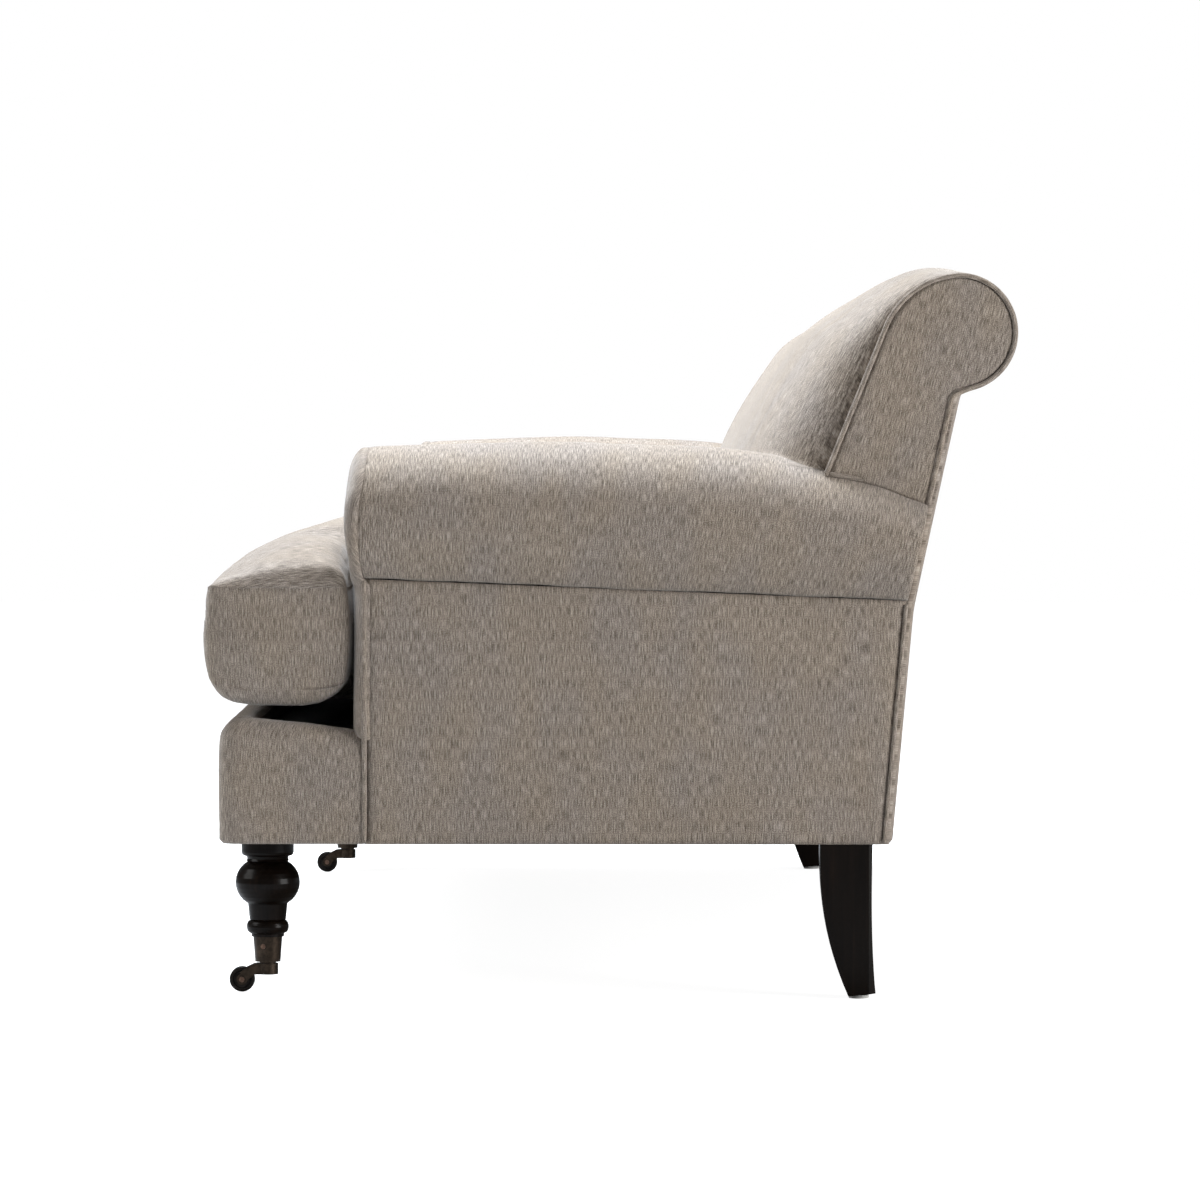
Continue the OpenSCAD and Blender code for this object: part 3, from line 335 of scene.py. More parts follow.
NODE_FINISHES = {
    "front_leg": WOOD, "rear_leg": WOOD, "caster_cup": BRONZE, "caster_horn": BRONZE, "caster_wheel": WHEEL,
    "caster_axle": COPPER, "caster_screws": COPPER, "rear_glide": GLIDE, "seat_springs": STEEL,
    "spring_clips": STEEL, "leg_bolts": STEEL,
}

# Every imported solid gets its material; timber is the rest
for node_name, node in NODES.items():
    found = [m for start, m in NODE_FINISHES.items() if node_name.startswith(start)]
    node.data.materials.clear()
    node.data.materials.append(found[0] if found else TIMBER)


# Meshes

def ripple(point, size, seed):
    """Smooth noise from -1 to 1 at a point, with waves of about that size."""
    return noise.noise(Vector(point) / size + Vector((seed * 7.3, seed * 3.1, seed * 5.7)))


def ripples(points, size, seed):
    return np.array([ripple(p, size, seed) for p in points])


def add_object(name, data):
    obj = bpy.data.objects.new(name, data)
    bpy.context.scene.collection.objects.link(obj)
    return obj


def new_object(name, verts, faces, uvs=None, material=None):
    """Makes a smooth mesh object. uvs is one pair per vertex, in metres of cloth."""
    mesh = bpy.data.meshes.new(name)
    mesh.from_pydata([tuple(v) for v in verts], [], [tuple(f) for f in faces])
    mesh.validate()
    if uvs is not None:
        layer = mesh.uv_layers.new(name="cloth")
        index = np.zeros(len(mesh.loops), int)
        mesh.loops.foreach_get("vertex_index", index)
        layer.data.foreach_set("uv", np.asarray(uvs, np.float32)[index].ravel())
    mesh.polygons.foreach_set("use_smooth", [True] * len(mesh.polygons))
    if material:
        mesh.materials.append(material)
    bm = bmesh.new()
    bm.from_mesh(mesh)
    bmesh.ops.recalc_face_normals(bm, faces=bm.faces)
    bm.to_mesh(mesh)
    bm.free()
    return add_object(name, mesh)


def grid_faces(rows, columns, closed):
    """Faces between the rows of a grid, whose columns may close into a ring."""
    faces = []
    for i in range(rows - 1):
        for j in range(columns if closed else columns - 1):
            k = (j + 1) % columns
            faces.append((i * columns + j, i * columns + k, (i + 1) * columns + k, (i + 1) * columns + j))
    return faces


def loft(name, rings, uvs):
    """A closed skin of the cloth over closed rings, with flat ends."""
    rows, columns = rings.shape[:2]
    faces = grid_faces(rows, columns, True)
    faces.append(tuple(range(columns - 1, -1, -1)))
    faces.append(tuple(range((rows - 1) * columns, rows * columns)))
    return new_object(name, rings.reshape(-1, 3), faces, uvs.reshape(-1, 2), CLOTH)


def on_side(points, sign):
    """Points as they are on the left, or mirrored for the right."""
    return points * np.array([sign, 1, 1])


def at_x(x, plane):
    """Points in y and z, put in a plane across the sofa."""
    return np.concatenate([np.broadcast_to(x, plane.shape[:-1])[..., None], plane], -1)


def run_lengths(points):
    """Distance along a row of points, from its first."""
    steps = np.linalg.norm(np.diff(points, axis=0), axis=1)
    return np.concatenate([[0], np.cumsum(steps)])


def resample(points, count):
    """Points at even steps along a polyline."""
    points = np.asarray(points, float)
    lengths = run_lengths(points)
    at = np.linspace(0, lengths[-1], count)
    return np.stack([np.interp(at, lengths, column) for column in points.T], -1)


def smoothed(points, passes):
    """Rounds a polyline between its ends."""
    points = np.asarray(points, float).copy()
    for _ in range(passes):
        points[1:-1] = (points[:-2] + 2 * points[1:-1] + points[2:]) / 4
    return points


def tube(name, path, radius, sides=8):
    """A cord of piping along a path, with rounded ends."""
    tangents = np.gradient(path, axis=0)
    tangents /= np.linalg.norm(tangents, axis=1)[:, None]
    turns = np.arange(sides) * 2 * math.pi / sides
    side = np.cross(tangents[0], (0.31, 0.17, 0.93))
    rings = []
    for i, (point, tangent) in enumerate(zip(path, tangents)):
        side = side - tangent * (side @ tangent)
        side /= np.linalg.norm(side)
        other = np.cross(tangent, side)
        end = min(1, 0.5 + 0.5 * min(i, len(path) - 1 - i))
        rings.append(point + radius * end * (np.outer(np.cos(turns), side) + np.outer(np.sin(turns), other)))
    uvs = coords(turns * radius, run_lengths(path)[:, None])
    return loft(name, np.array(rings), uvs)


# Soft surfaces

def grid_normals(points, outward):
    """Normals of a grid of points, turned to the side that the vectors in outward say."""
    normals = np.cross(np.gradient(points, axis=0), np.gradient(points, axis=1))
    normals /= np.maximum(np.linalg.norm(normals, axis=2, keepdims=True), 1e-9)
    turned = (normals * outward).sum(2, keepdims=True) < 0
    return np.where(turned, -normals, normals)


def undulate(points, outward, waves, fade=1.0, turn=0):
    """Moves a grid of points along its normals by noises, each a height in millimetres, a size and a seed.
    turn is added to the seeds, so that the two sides differ."""
    for height, size, seed in waves:
        wave = np.array([ripples(row, size, seed + turn) for row in points])
        points = points + grid_normals(points, outward) * (wave * (height * MM) * fade)[..., None]
    return points


def patch(front, rear, low, high):
    """A Coons patch between four edges: rows go from low to high, columns from front to rear."""
    s = np.linspace(0, 1, len(front))[:, None, None]
    t = np.linspace(0, 1, len(low))[None, :, None]
    sides = (1 - t) * front[:, None] + t * rear[:, None]
    ends = (1 - s) * low[None] + s * high[None]
    corners = (1 - s) * (1 - t) * low[0] + (1 - s) * t * low[-1] + s * (1 - t) * high[0] + s * t * high[-1]
    return sides + ends - corners


def edge_distance(points, edge):
    """Distance of each point of a grid from an edge line, by its nearest point."""
    return np.array([np.linalg.norm(row[:, None] - edge[None], axis=2).min(1) for row in points])


def fade_in(gap, reach):
    return np.clip(gap / reach, 0, 1)


def drop(table, distance):
    """Share of a table at a distance that the table gives in millimetres."""
    return read_table(table, distance / MM)


def rounded_in(distance, radius):
    """How far a padded edge falls back at a distance from its seam."""
    share = np.clip(distance / radius, 0, 1)
    return radius * (1 - np.sqrt(np.maximum(0, 1 - (1 - share) ** 2)))


def there_and_back(row, other=None):
    """A row, and from its end back along the other row or the same one."""
    return np.concatenate([row, (row if other is None else other)[::-1][1:]])


def shell(name, face, axis, depth, sign, uvs):
    """A padded panel: a closed skin between a face grid and the same grid set back along an axis."""
    rows, columns = face.shape[:2]
    back = face.copy()
    back[..., axis] = depth
    index = np.arange(rows * columns).reshape(rows, columns)
    faces = grid_faces(rows, columns, False)
    faces += [tuple(index.size + k for k in reversed(f)) for f in faces]
    border = [*index[0], *index[1:, -1], *index[-1, -2::-1], *index[-2:0:-1, 0]]
    faces += [(b, a, index.size + a, index.size + b) for a, b in zip(border, border[1:] + border[:1])]
    points = on_side(np.concatenate([face, back]).reshape(-1, 3), sign)
    return new_object(name, points, faces, np.concatenate([uvs, uvs]).reshape(-1, 2), CLOTH)


def finish(obj, body, stands_for=None):
    """Puts a soft piece under the empty of its body, and hides the solid that it stands for."""
    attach(obj, body)
    if stands_for:
        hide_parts(stands_for)


def piping(name, x, line, sign, radius, sway=None):
    """Piping along a line in y and z. sway is the axis, height, size and seed of its waviness."""
    path = at_x(x, line)
    if sway:
        axis, height, size, seed = sway
        path[:, axis] += height * ripples(path, size, seed)
    finish(tube(name, on_side(path, sign), radius), "frame")


# Cloth simulation

SIM_VOXEL = 12 * MM
SIM_FRAMES = 14
SIM_REACH = 7 * MM
SIM_SETTINGS = {
    "quality": 5, "mass": 0.25, "tension_stiffness": 12, "compression_stiffness": 12, "shear_stiffness": 4,
    "bending_stiffness": 0.15, "use_pressure": True, "uniform_pressure_force": 3.0, "shrink_min": -0.017,
    "vertex_group_mass": "held",
}
SIM_LEAST_PIN = 0.02
SIM_NEIGHBOURS = 5
SIM_BLUR = 2 * MM


def vertex_array(mesh):
    flat = np.zeros(len(mesh.vertices) * 3, np.float32)
    mesh.vertices.foreach_get("co", flat)
    return flat.reshape(-1, 3).astype(float)


def puff(obj, pinned):
    """Blows a coarse copy of a cushion up as cloth with some slack, and gives the fine mesh the same folds.
    pinned is a function of points that gives 1 where the cloth stays and 0 where it is free."""
    coarse = add_object("sim_" + obj.name, obj.data.copy())
    remesh = coarse.modifiers.new("remesh", "REMESH")
    remesh.mode = "VOXEL"
    remesh.voxel_size = SIM_VOXEL
    graph = bpy.context.evaluated_depsgraph_get()
    mesh = bpy.data.meshes.new_from_object(coarse.evaluated_get(graph))
    coarse.modifiers.clear()
    coarse.data = mesh
    rest = vertex_array(mesh)
    pins = coarse.vertex_groups.new(name="held")
    weights = pinned(rest)
    for i in np.nonzero(weights > SIM_LEAST_PIN)[0]:
        pins.add([int(i)], float(weights[i]), "REPLACE")
    cloth = coarse.modifiers.new("cloth", "CLOTH")
    for key, value in SIM_SETTINGS.items():
        setattr(cloth.settings, key, value)
    cloth.settings.effector_weights.gravity = 0
    cloth.point_cache.frame_start = 1
    cloth.point_cache.frame_end = SIM_FRAMES
    cloth.collision_settings.use_collision = False
    cloth.collision_settings.use_self_collision = False
    scene = bpy.context.scene
    for step in range(1, SIM_FRAMES + 1):
        scene.frame_set(step)
    graph = bpy.context.evaluated_depsgraph_get()
    shift = vertex_array(coarse.evaluated_get(graph).to_mesh()) - rest
    length = np.linalg.norm(shift, axis=1, keepdims=True)
    shift *= np.minimum(1, SIM_REACH / np.maximum(length, 1e-9))
    tree = kdtree.KDTree(len(rest))
    for i, point in enumerate(rest):
        tree.insert(point, i)
    tree.balance()
    fine = vertex_array(obj.data)
    for i, point in enumerate(fine):
        near = tree.find_n(point, SIM_NEIGHBOURS)
        weight = np.array([1 / (n[2] + SIM_BLUR) ** 2 for n in near])
        fine[i] += (shift[[n[1] for n in near]] * weight[:, None]).sum(0) / weight.sum()
    obj.data.vertices.foreach_set("co", fine.astype(np.float32).ravel())
    obj.data.update()
    scene.frame_set(1)
    bpy.data.objects.remove(coarse)
    bpy.data.meshes.remove(mesh)


# Arms

# How far the rounded rim at the front of a roll stands ahead, in millimetres, by the turn in degrees
FRONT_BULGE = ((-80, 0), (-57, 5.8), (-44, 9.7), (-31, 12.3), (-20, 13.9), (-9, 13.7), (4, 11.8), (18, 8.6),
               (30, 5.8), (49, 4.3), (62, 3.5), (90, 3), (120, 4), (150, 6), (180, 6))
BULGE_SHARE = 0.09
# Stretches of an arm with their numbers of steps, as shares of its length
ARM_RUNS = ((0, 0.06, 15), (0.06, 0.72, 49), (0.72, 1, 39))
ARM_WAVES = ((1.3, 0.13, 2), (0.45, 0.035, 5))
ARM_INNER_STEPS = 13
ROLL_MIDDLE_Z = 0.5
FRAME_GAP = 30 * MM
FRAME_DROP = 45 * MM
LOW_TUCK = 1.5 * MM
LOW_TUCK_TURN = 0.06
SWAY_TURN = 0.09
PUCKER = 0.9 * MM
PUCKER_REACH = 22 * MM
PUCKER_COUNTS = ((23, 0.5), (37, 0.35), (61, 0.15))
SEAM_TUCK = 4.6 * MM
SEAM_TUCK_REACH = 4.5 * MM
ARM_COLUMNS = 72
# Creases at the rear of a roll, where the cover is pulled into the back: start, end, depth and half width
CREASES = (((0.452, 0.655), (0.352, 0.560), 2.4, 8), ((0.446, 0.628), (0.385, 0.520), 2.0, 7),
           ((0.440, 0.668), (0.270, 0.612), 1.6, 9), ((0.430, 0.600), (0.405, 0.540), 1.5, 6))
INNER_CREASE_SHARE = 0.3


def front_bulge(turn):
    return read_table(FRONT_BULGE, np.degrees(turn)) * MM


def puckers(turn, seed):
    """Gathers along the seam of an arm's facing: uneven folds by their place round the roll."""
    return sum(share * np.sin(turn * count / 2 + seed * (k + 1.7) + 1.9 * np.sin(turn * 3 + seed + k))
               for k, (count, share) in enumerate(PUCKER_COUNTS)) * PUCKER


def arm_roll(side, sign):
    """The roll and the inner side of an arm, from its front seam to its slanted rear end."""
    turns = np.linspace(SEAM_TURN, math.pi, ARM_COLUMNS)
    shares = np.concatenate([np.linspace(*run, endpoint=False) for run in ARM_RUNS] + [[1]])
    stations = arm_y(shares)
    y, share = stations[:, None], shares[:, None]
    down = np.linspace(1, 0, ARM_INNER_STEPS + 1)[1:]
    inner = coords(ARM_IN_X, y, DECK_Z + (roll_z(y) - DECK_Z) * down)
    skin = np.concatenate([roll_point(y, turns), inner], axis=1)
    every_turn = np.concatenate([turns, np.full(len(down), math.pi)])
    from_seam = every_turn - SEAM_TURN
    ahead = front_bulge(every_turn) * np.concatenate([np.ones(ARM_COLUMNS), down])
    skin[..., 1] += slant(share, skin[..., 2]) - ahead * np.clip(1 - share / BULGE_SHARE, 0, 1) ** 1.5
    outward = (skin - np.array([ROLL_X, 0, ROLL_MIDDLE_Z])) * (1, 0, 1)
    past_front = skin[..., 1] - skin[:1, :, 1]
    fold = puckers(every_turn, 3 + sign) * np.exp(-past_front / PUCKER_REACH) * 1.2
    fold -= SEAM_TUCK * np.exp(-past_front / SEAM_TUCK_REACH) + LOW_TUCK * np.exp(-from_seam / LOW_TUCK_TURN)
    seam = [(0, at, 0) for at in stations]
    sway = ripples(seam, 0.045, 18 + sign) * 0.9 + ripples(seam, 0.012, 19) * 0.4
    skin[..., 2] += sway[:, None] * MM * np.exp(-from_seam / SWAY_TURN)
    skin += grid_normals(skin, outward) * fold[..., None]
    skin = creases(undulate(skin, outward, ARM_WAVES, turn=sign), outward)
    within = ARM_IN_X + FRAME_GAP
    floor = np.concatenate([coords(within, y, DECK_Z), coords(within, y, SEAM_H - FRAME_DROP),
                            coords(HALF_W - PANEL_T, y, seam_z(y) + 2 * MM)], axis=1)
    floor[..., 1] += slant(share, floor[..., 2])
    rings = np.concatenate([skin, floor], axis=1)
    arc = np.array([run_lengths(r) for r in rings[:, :, [0, 2]]])
    roll = loft(f"arm_roll_{side}", on_side(rings, sign), coords(y, arc))
    finish(roll, "frame", f"arm_pad_{side}")


def creases(points, outward):
    """Presses soft diagonal creases into the outer side of an arm's rear end."""
    push = np.zeros(points.shape[:2])
    for start, end, depth, half in CREASES:
        a, run = np.array(start), np.array(end) - start
        along = np.clip((points[..., 1:] - a) @ run / (run @ run), 0, 1)
        gap = np.linalg.norm(points[..., 1:] - (a + along[..., None] * run), axis=2) / (half * MM)
        push += depth * MM * (1 - along) ** 0.7 * (0.6 * np.exp(-(gap - 1.9) ** 2) - np.exp(-gap ** 2))
    push[points[..., 0] < ROLL_X] *= INNER_CREASE_SHARE
    return points + grid_normals(points, outward) * push[..., None]


# How far an arm's front face swells, in millimetres, by the depth under the roll's crest
FACING_SWELL = ((0, 22), (64, 22.5), (90, 20.5), (112, 17.5), (132, 14.8), (160, 15.3), (400, 15.3))
POST_SWELL = FACING_SWELL[-1][1] * MM
FACING_REACH = 0.5
FACING_FOOT_SHARE = 0.3
FACING_STEPS = 18
FACING_WAVES = ((0.9, 0.09, 9),)
POST_STEPS = 25
RIM_STEPS = 40
FACING_HEM = 6 * MM
FOOT_Z = DECK_Z - 13 * MM
WELT_R = 3.4 * MM
REAR_PIPE_R = 2.6 * MM


def facing_edges():
    """Outer and inner edge of an arm's front face, from the foot to the crest, in x and z. With them come the
    turn round the roll and whether the place is on the roll."""
    post = np.linspace(0, 1, POST_STEPS, endpoint=False)
    edges = []
    for x, from_z, start in ((HALF_W, seam_z(ARM_FRONT_Y), SEAM_TURN),
                             (ARM_IN_X, roll_z(ARM_FRONT_Y), math.pi)):
        line = coords(x, FOOT_Z + (from_z - FOOT_Z) * post)
        roll = roll_point(ARM_FRONT_Y, np.linspace(start, math.pi / 2, RIM_STEPS))[:, [0, 2]]
        edges.append(np.concatenate([line, roll]))
    turns = np.concatenate([np.full(POST_STEPS, SEAM_TURN), np.linspace(SEAM_TURN, math.pi / 2, RIM_STEPS)])
    return *edges, turns, np.concatenate([np.zeros(POST_STEPS), np.ones(RIM_STEPS)])


def arm_facing(side, sign):
    """The padded front of an arm: rings of the outline that shrink as the face swells."""
    outer, inner, turns, weight = facing_edges()
    middle, half = (outer + inner) / 2, (outer - inner) / 2
    low, high = outer[0, 1], outer[-1, 1]
    ground = there_and_back(ARM_FRONT_Y - front_bulge(turns) * weight)
    folds = puckers(there_and_back(turns, math.pi - turns), 5 + sign) * there_and_back(weight)
    rows, uvs = [], []
    for step in np.concatenate([[-0.06, 0], FACING_REACH * np.linspace(0, 1, FACING_STEPS)[1:] ** 1.7]):
        inset = max(step, 0)
        share = 1 - (1 - min(inset / FACING_REACH, 1)) ** 2.4
        shift = inset * ROLL_A * 1.1
        loop = there_and_back(middle + half * (1 - inset), middle - half * (1 - inset))
        loop[:, 1] = (low + shift * FACING_FOOT_SHARE
                      + (loop[:, 1] - low) / (high - low) * (high - low - shift * (1 + FACING_FOOT_SHARE)))
        swell = drop(FACING_SWELL, high - loop[:, 1]) * MM
        lift = share ** 0.62 * swell if step >= 0 else np.full(len(loop), -FACING_HEM)
        fold = folds * math.exp(-inset / 0.09) * (step > 0)
        base = ground + (ARM_FRONT_Y - ground) * (inset / FACING_REACH)
        rows.append(coords(loop[:, 0], base - lift - fold, loop[:, 1]))
        facing_out = coords(np.gradient(loop[:, 1]), -np.gradient(loop[:, 0]))
        facing_out /= np.linalg.norm(facing_out, axis=1)[:, None]
        uvs.append(loop - facing_out * lift[:, None])
    rows = np.array(rows)
    rows[2:] = undulate(rows, (0, -1, 0), FACING_WAVES, turn=sign)[2:]
    facing = loft(f"arm_facing_{side}_pad", on_side(rows, sign), np.array(uvs))
    finish(facing, "frame", f"arm_facing_{side}")


PANEL_ROUND = 4.5 * MM
# Waves of the side panel, each with the distance over which it comes in from the seams
PANEL_WAVES = (((1.1, 0.17, 12), 40 * MM), ((0.35, 0.04, 14), 10 * MM))


def outer_panel(side, sign):
    """Side panel under the roll, with rounded seams, a welt up its front edge and piping down its rear."""
    rows, columns = 60, 84
    up = np.linspace(0, 1, rows)
    rear_z = BASE_Z + (seam_z(rear_y(SEAM_H - SEAM_FALL) - OUTSIDE_T) - BASE_Z) * up
    front = coords(np.full(rows, ARM_FRONT_Y), BASE_Z + (SEAM_H - BASE_Z) * up)
    rear = coords(rear_y(rear_z) - OUTSIDE_T, rear_z)
    low = np.linspace(front[0], rear[0], columns)
    high_y = np.linspace(front[-1, 0], rear[-1, 0], columns)
    high = coords(high_y, seam_z(high_y))
    high[0], high[-1] = front[-1], rear[-1]
    flat = patch(front, rear, low, high)
    gap = edge_distance(flat, np.concatenate([resample(low, 200), resample(high, 200)]))
    for edge, radius in ((front, WELT_R), (rear, REAR_PIPE_R)):
        gap = np.minimum(gap, np.maximum(edge_distance(flat, resample(edge, 300)) - radius, 0))
    face = at_x(HALF_W - rounded_in(gap, PANEL_ROUND), flat)
    for wave, reach in PANEL_WAVES:
        face = undulate(face, (1, 0, 0), (wave,), fade_in(gap, reach), sign)
    panel = shell(f"side_panel_{side}", face, 0, HALF_W - PANEL_T, sign, flat)
    finish(panel, "frame", f"outer_panel_{side}")
    z = np.linspace(BASE_Z + 2 * MM, SEAM_H - 2 * MM, 60)
    line = coords(np.full(60, ARM_FRONT_Y - 1 * MM), z)
    piping(f"arm_welt_{side}", HALF_W - 0.6 * MM, line, sign, WELT_R, (1, 0.5 * MM, 0.05, 4))
    z = np.linspace(BASE_Z + 2 * MM, SEAM_H - SEAM_FALL - 4 * MM, 90)
    line = coords(rear_y(z) - OUTSIDE_T, z)
    piping(f"rear_pipe_{side}", HALF_W - 0.8 * MM, line, sign, REAR_PIPE_R, (1, 0.4 * MM, 0.05, 8))


for side_name, side_sign in SIDES:
    arm_roll(side_name, side_sign)
    arm_facing(side_name, side_sign)
    outer_panel(side_name, side_sign)


# Back

PIPE_R = 3.2 * MM
SEAM_ROUND = 3.8 * MM
FACING_T = 12 * MM
WEAVE_LEAN = math.radians(14)
BACK_SIDE_WAVES = ((0.9, 0.09, 21),)
SCROLL_TOP = 60
LOW_PIPE_POINTS = 24


def outline_front(low_z):
    """Front line of the back's side from a height up, over the arc, to the top of the roll."""
    z = np.linspace(low_z, FACE_TOUCH[1], 40)[:-1]
    arc = around(FACE_ARC_C, FACE_ARC_R, np.linspace(180 - math.degrees(FACE_LEAN), 90, 30))
    roll = around(SCROLL_C, SCROLL_R, np.linspace(90, SCROLL_TOP, 8)[1:])
    return np.concatenate([coords(face_y(z), z), arc, roll])


def outline_rear(low_z):
    """Rear line from a height up, round the fillet and the roll, to the same place."""
    under = SCROLL_C[1] - SCROLL_R - FILLET_R / 3
    line = np.linspace((rear_y(low_z) - OUTSIDE_T, low_z), (rear_y(under) - OUTSIDE_T, under), 40)
    roll = around(SCROLL_C, SCROLL_R, np.linspace(FILLET_TURN, SCROLL_TOP, 60))
    return smoothed(np.concatenate([line, roll]), 2)


def seat_line(x):
    """Where the back's facing stands on the arm: from its front to its rear, in y and z."""
    shares = np.linspace(1, 0.5, 60)
    z = roll_top_z(x, arm_y(shares))
    points = coords(arm_y(shares) + slant(shares, z), z)
    return points[points[:, 0] > face_y(points[:, 1])][::-1]


def back_facing(side, sign):
    """The scroll-shaped end panel of the back, with piping round it."""
    seat = resample(seat_line(FACING_X - 1.5 * MM), 50)
    front = resample(outline_front(seat[0, 1]), 90)
    rear = resample(outline_rear(seat[-1, 1]), 90)
    front[0], rear[0], rear[-1] = seat[0], seat[-1], front[-1]
    flat = patch(front, rear, seat, np.repeat(front[-1:], 50, 0))[:-1]
    gap = edge_distance(flat, np.concatenate([resample(e, 300) for e in (front, rear, seat[:16])]))
    face = at_x(FACING_X - rounded_in(np.maximum(gap - PIPE_R, 0), SEAM_ROUND), flat)
    face = undulate(face, (1, 0, 0), BACK_SIDE_WAVES, fade_in(gap, 30 * MM), sign)
    cos, sin = math.cos(WEAVE_LEAN), math.sin(WEAVE_LEAN)
    turned = coords(flat[..., 0] * cos - flat[..., 1] * sin, flat[..., 0] * sin + flat[..., 1] * cos)
    panel = shell(f"back_side_{side}", face, 0, FACING_X - FACING_T, sign, turned)
    finish(panel, "frame", f"back_facing_{side}")
    loop = resample(there_and_back(front, rear), 320)
    piping(f"back_pipe_{side}", FACING_X - 0.8 * MM, loop, sign, PIPE_R, (0, 0.3 * MM, 0.03, 9))
    behind = np.linspace(0, 1, LOW_PIPE_POINTS) ** 1.5 * 6 * MM
    low = seat[:LOW_PIPE_POINTS] + np.array([0, 2.5 * MM])
    piping(f"back_low_pipe_{side}", FACING_X - 0.5 * MM - behind, low, sign, PIPE_R)


# Crown of the inside back's section, by the share of its straight front's height, then by the turn in degrees
# on the arc and on the roll
FRONT_CROWN = ((0, 0.3), (0.16, 0.8), (0.34, 1), (0.52, 1.02), (0.68, 1), (0.82, 0.89), (0.93, 0.75))
ARC_CROWN = ((158, 0.525), (147, 0.395), (136, 0.31), (125, 0.26), (112, 0.21), (100, 0.14), (90, 0.08))
ROLL_CROWN = ((72, 0.06), (52, 0.05), (32, 0.05), (12, 0.05), (-8, 0.05), (-28, 0.05), (-48, 0.04),
              (-66, 0.02))
BACK_PAD_T = 22 * MM
BACK_POWER = 10
BACK_COLUMNS = 150
BACK_LIE = 0.5 * MM
BACK_WAVES = ((1.6, 0.16, 31), (0.5, 0.045, 33))
REAR_ROUND = 4 * MM
REAR_WAVES = ((1.2, 0.2, 41),)


def back_section(swell, off):
    """Section of the inside back from the deck up and over the roll, pushed out by its crown."""
    out = np.array([-math.cos(FACE_LEAN), math.sin(FACE_LEAN)])
    points = []
    for share, crown in FRONT_CROWN:
        z = DECK_Z + (FACE_TOUCH[1] - DECK_Z) * share
        points.append(np.array([face_y(z), z]) + out * (swell * crown - off))
    points += [around(FACE_ARC_C, FACE_ARC_R - off + swell * c, a) for a, c in ARC_CROWN]
    points += [around(SCROLL_C, SCROLL_R - off + swell * c, a) for a, c in ROLL_CROWN]
    points.append(around(SCROLL_C, SCROLL_R - off, FILLET_TURN))
    return np.array(points)


def spline(points, count):
    """A smooth curve through points, at even steps (Catmull-Rom)."""
    ends = np.concatenate([[2 * points[0] - points[1]], points, [2 * points[-1] - points[-2]]])
    t = np.linspace(0, 1, 12, endpoint=False)[:, None]
    out = [0.5 * (2 * b + (c - a) * t + (2 * a - 5 * b + 4 * c - d) * t ** 2
                  + (3 * b - a - 3 * c + d) * t ** 3)
           for a, b, c, d in zip(ends, ends[1:], ends[2:], ends[3:])]
    return resample(np.concatenate(out + [points[-1:]]), count)


def inside_back():
    """The padded front of the back with its crown, over the deck and the arms' inner sides."""
    end_x = FACING_X - FACING_T - 0.3 * MM
    half = end_x * np.sin(np.linspace(0, math.pi / 2, 110)) ** 0.8
    half = np.unique(np.round(np.concatenate([half, np.linspace(ARM_IN_X - 0.02, end_x, 40)]), 5))
    rings = []
    for x in np.concatenate([-half[::-1], half[1:]]):
        swell = BACK_CROWN * math.sqrt(max(0, 1 - min(1, abs(x) / end_x) ** BACK_POWER))
        ring = np.concatenate([spline(back_section(swell, 0), BACK_COLUMNS),
                               spline(back_section(0, BACK_PAD_T), 40)[::-1]])
        low = over_arm_z(abs(x), ring[:, 0]) if abs(x) > ARM_IN_X - 0.5 * MM else DECK_Z
        ring[:, 1] = np.maximum(ring[:, 1], low + BACK_LIE)
        rings.append(at_x(x, ring))
    rings = np.array(rings)
    skin = rings[:, :BACK_COLUMNS]
    outward = (skin - np.array([0, SCROLL_C[0], SCROLL_C[1] - 0.1])) * (0, 1, 1)
    fade = fade_in(end_x - np.abs(skin[..., 0]), 60 * MM)
    rings[:, :BACK_COLUMNS] = undulate(skin, outward, BACK_WAVES, fade)
    arc = np.array([run_lengths(r) for r in rings[:, :, 1:]])
    pad = loft("back_pad", rings, coords(rings[..., 0], arc))
    finish(pad, "frame", "inside_back")


def outside_back():
    """Padded panel down the rear, which turns out under the roll."""
    fillet = around(FILLET_C, FILLET_R, np.linspace(180 + FILLET_TURN, 180 - math.degrees(HIGH_LEAN), 14))
    high = np.linspace(fillet[-1], BEND_POINT, 40)[1:]
    low = np.linspace(BEND_POINT, (REAR_FOOT_Y, BASE_Z), 40)[1:]
    line = resample(smoothed(np.concatenate([fillet, high, low]), 3), 110)[::-1]
    across, up = np.broadcast_arrays(np.linspace(-FACING_X, FACING_X, 200), run_lengths(line)[:, None])
    gap = np.minimum(FACING_X - np.abs(across), np.minimum(up, up[-1, 0] - up))
    face = at_x(across, np.repeat(line[:, None], 200, 1))
    face[..., 1] -= rounded_in(gap, REAR_ROUND)
    face = undulate(face, (0, 1, 0), REAR_WAVES, fade_in(gap, 40 * MM))
    panel = shell("rear_panel", face, 1, face[..., 1] - OUTSIDE_T, 1, coords(across, up))
    finish(panel, "frame", "outside_back")


for side_name, side_sign in SIDES:
    back_facing(side_name, side_sign)
inside_back()
outside_back()


# Front border

BORDER_H = 150 * MM
BORDER_T = 46 * MM
CORNER_R = 24 * MM
BORDER_CROWN = 0.06
# The border's section: how far in and how high, as shares of its thickness and height
BORDER_OUT = ((0, 0), (-0.02, 0.35), (0, 0.8), (0.14, 0.93), (0.4, 0.99), (0.75, 1), (1, 0.96))
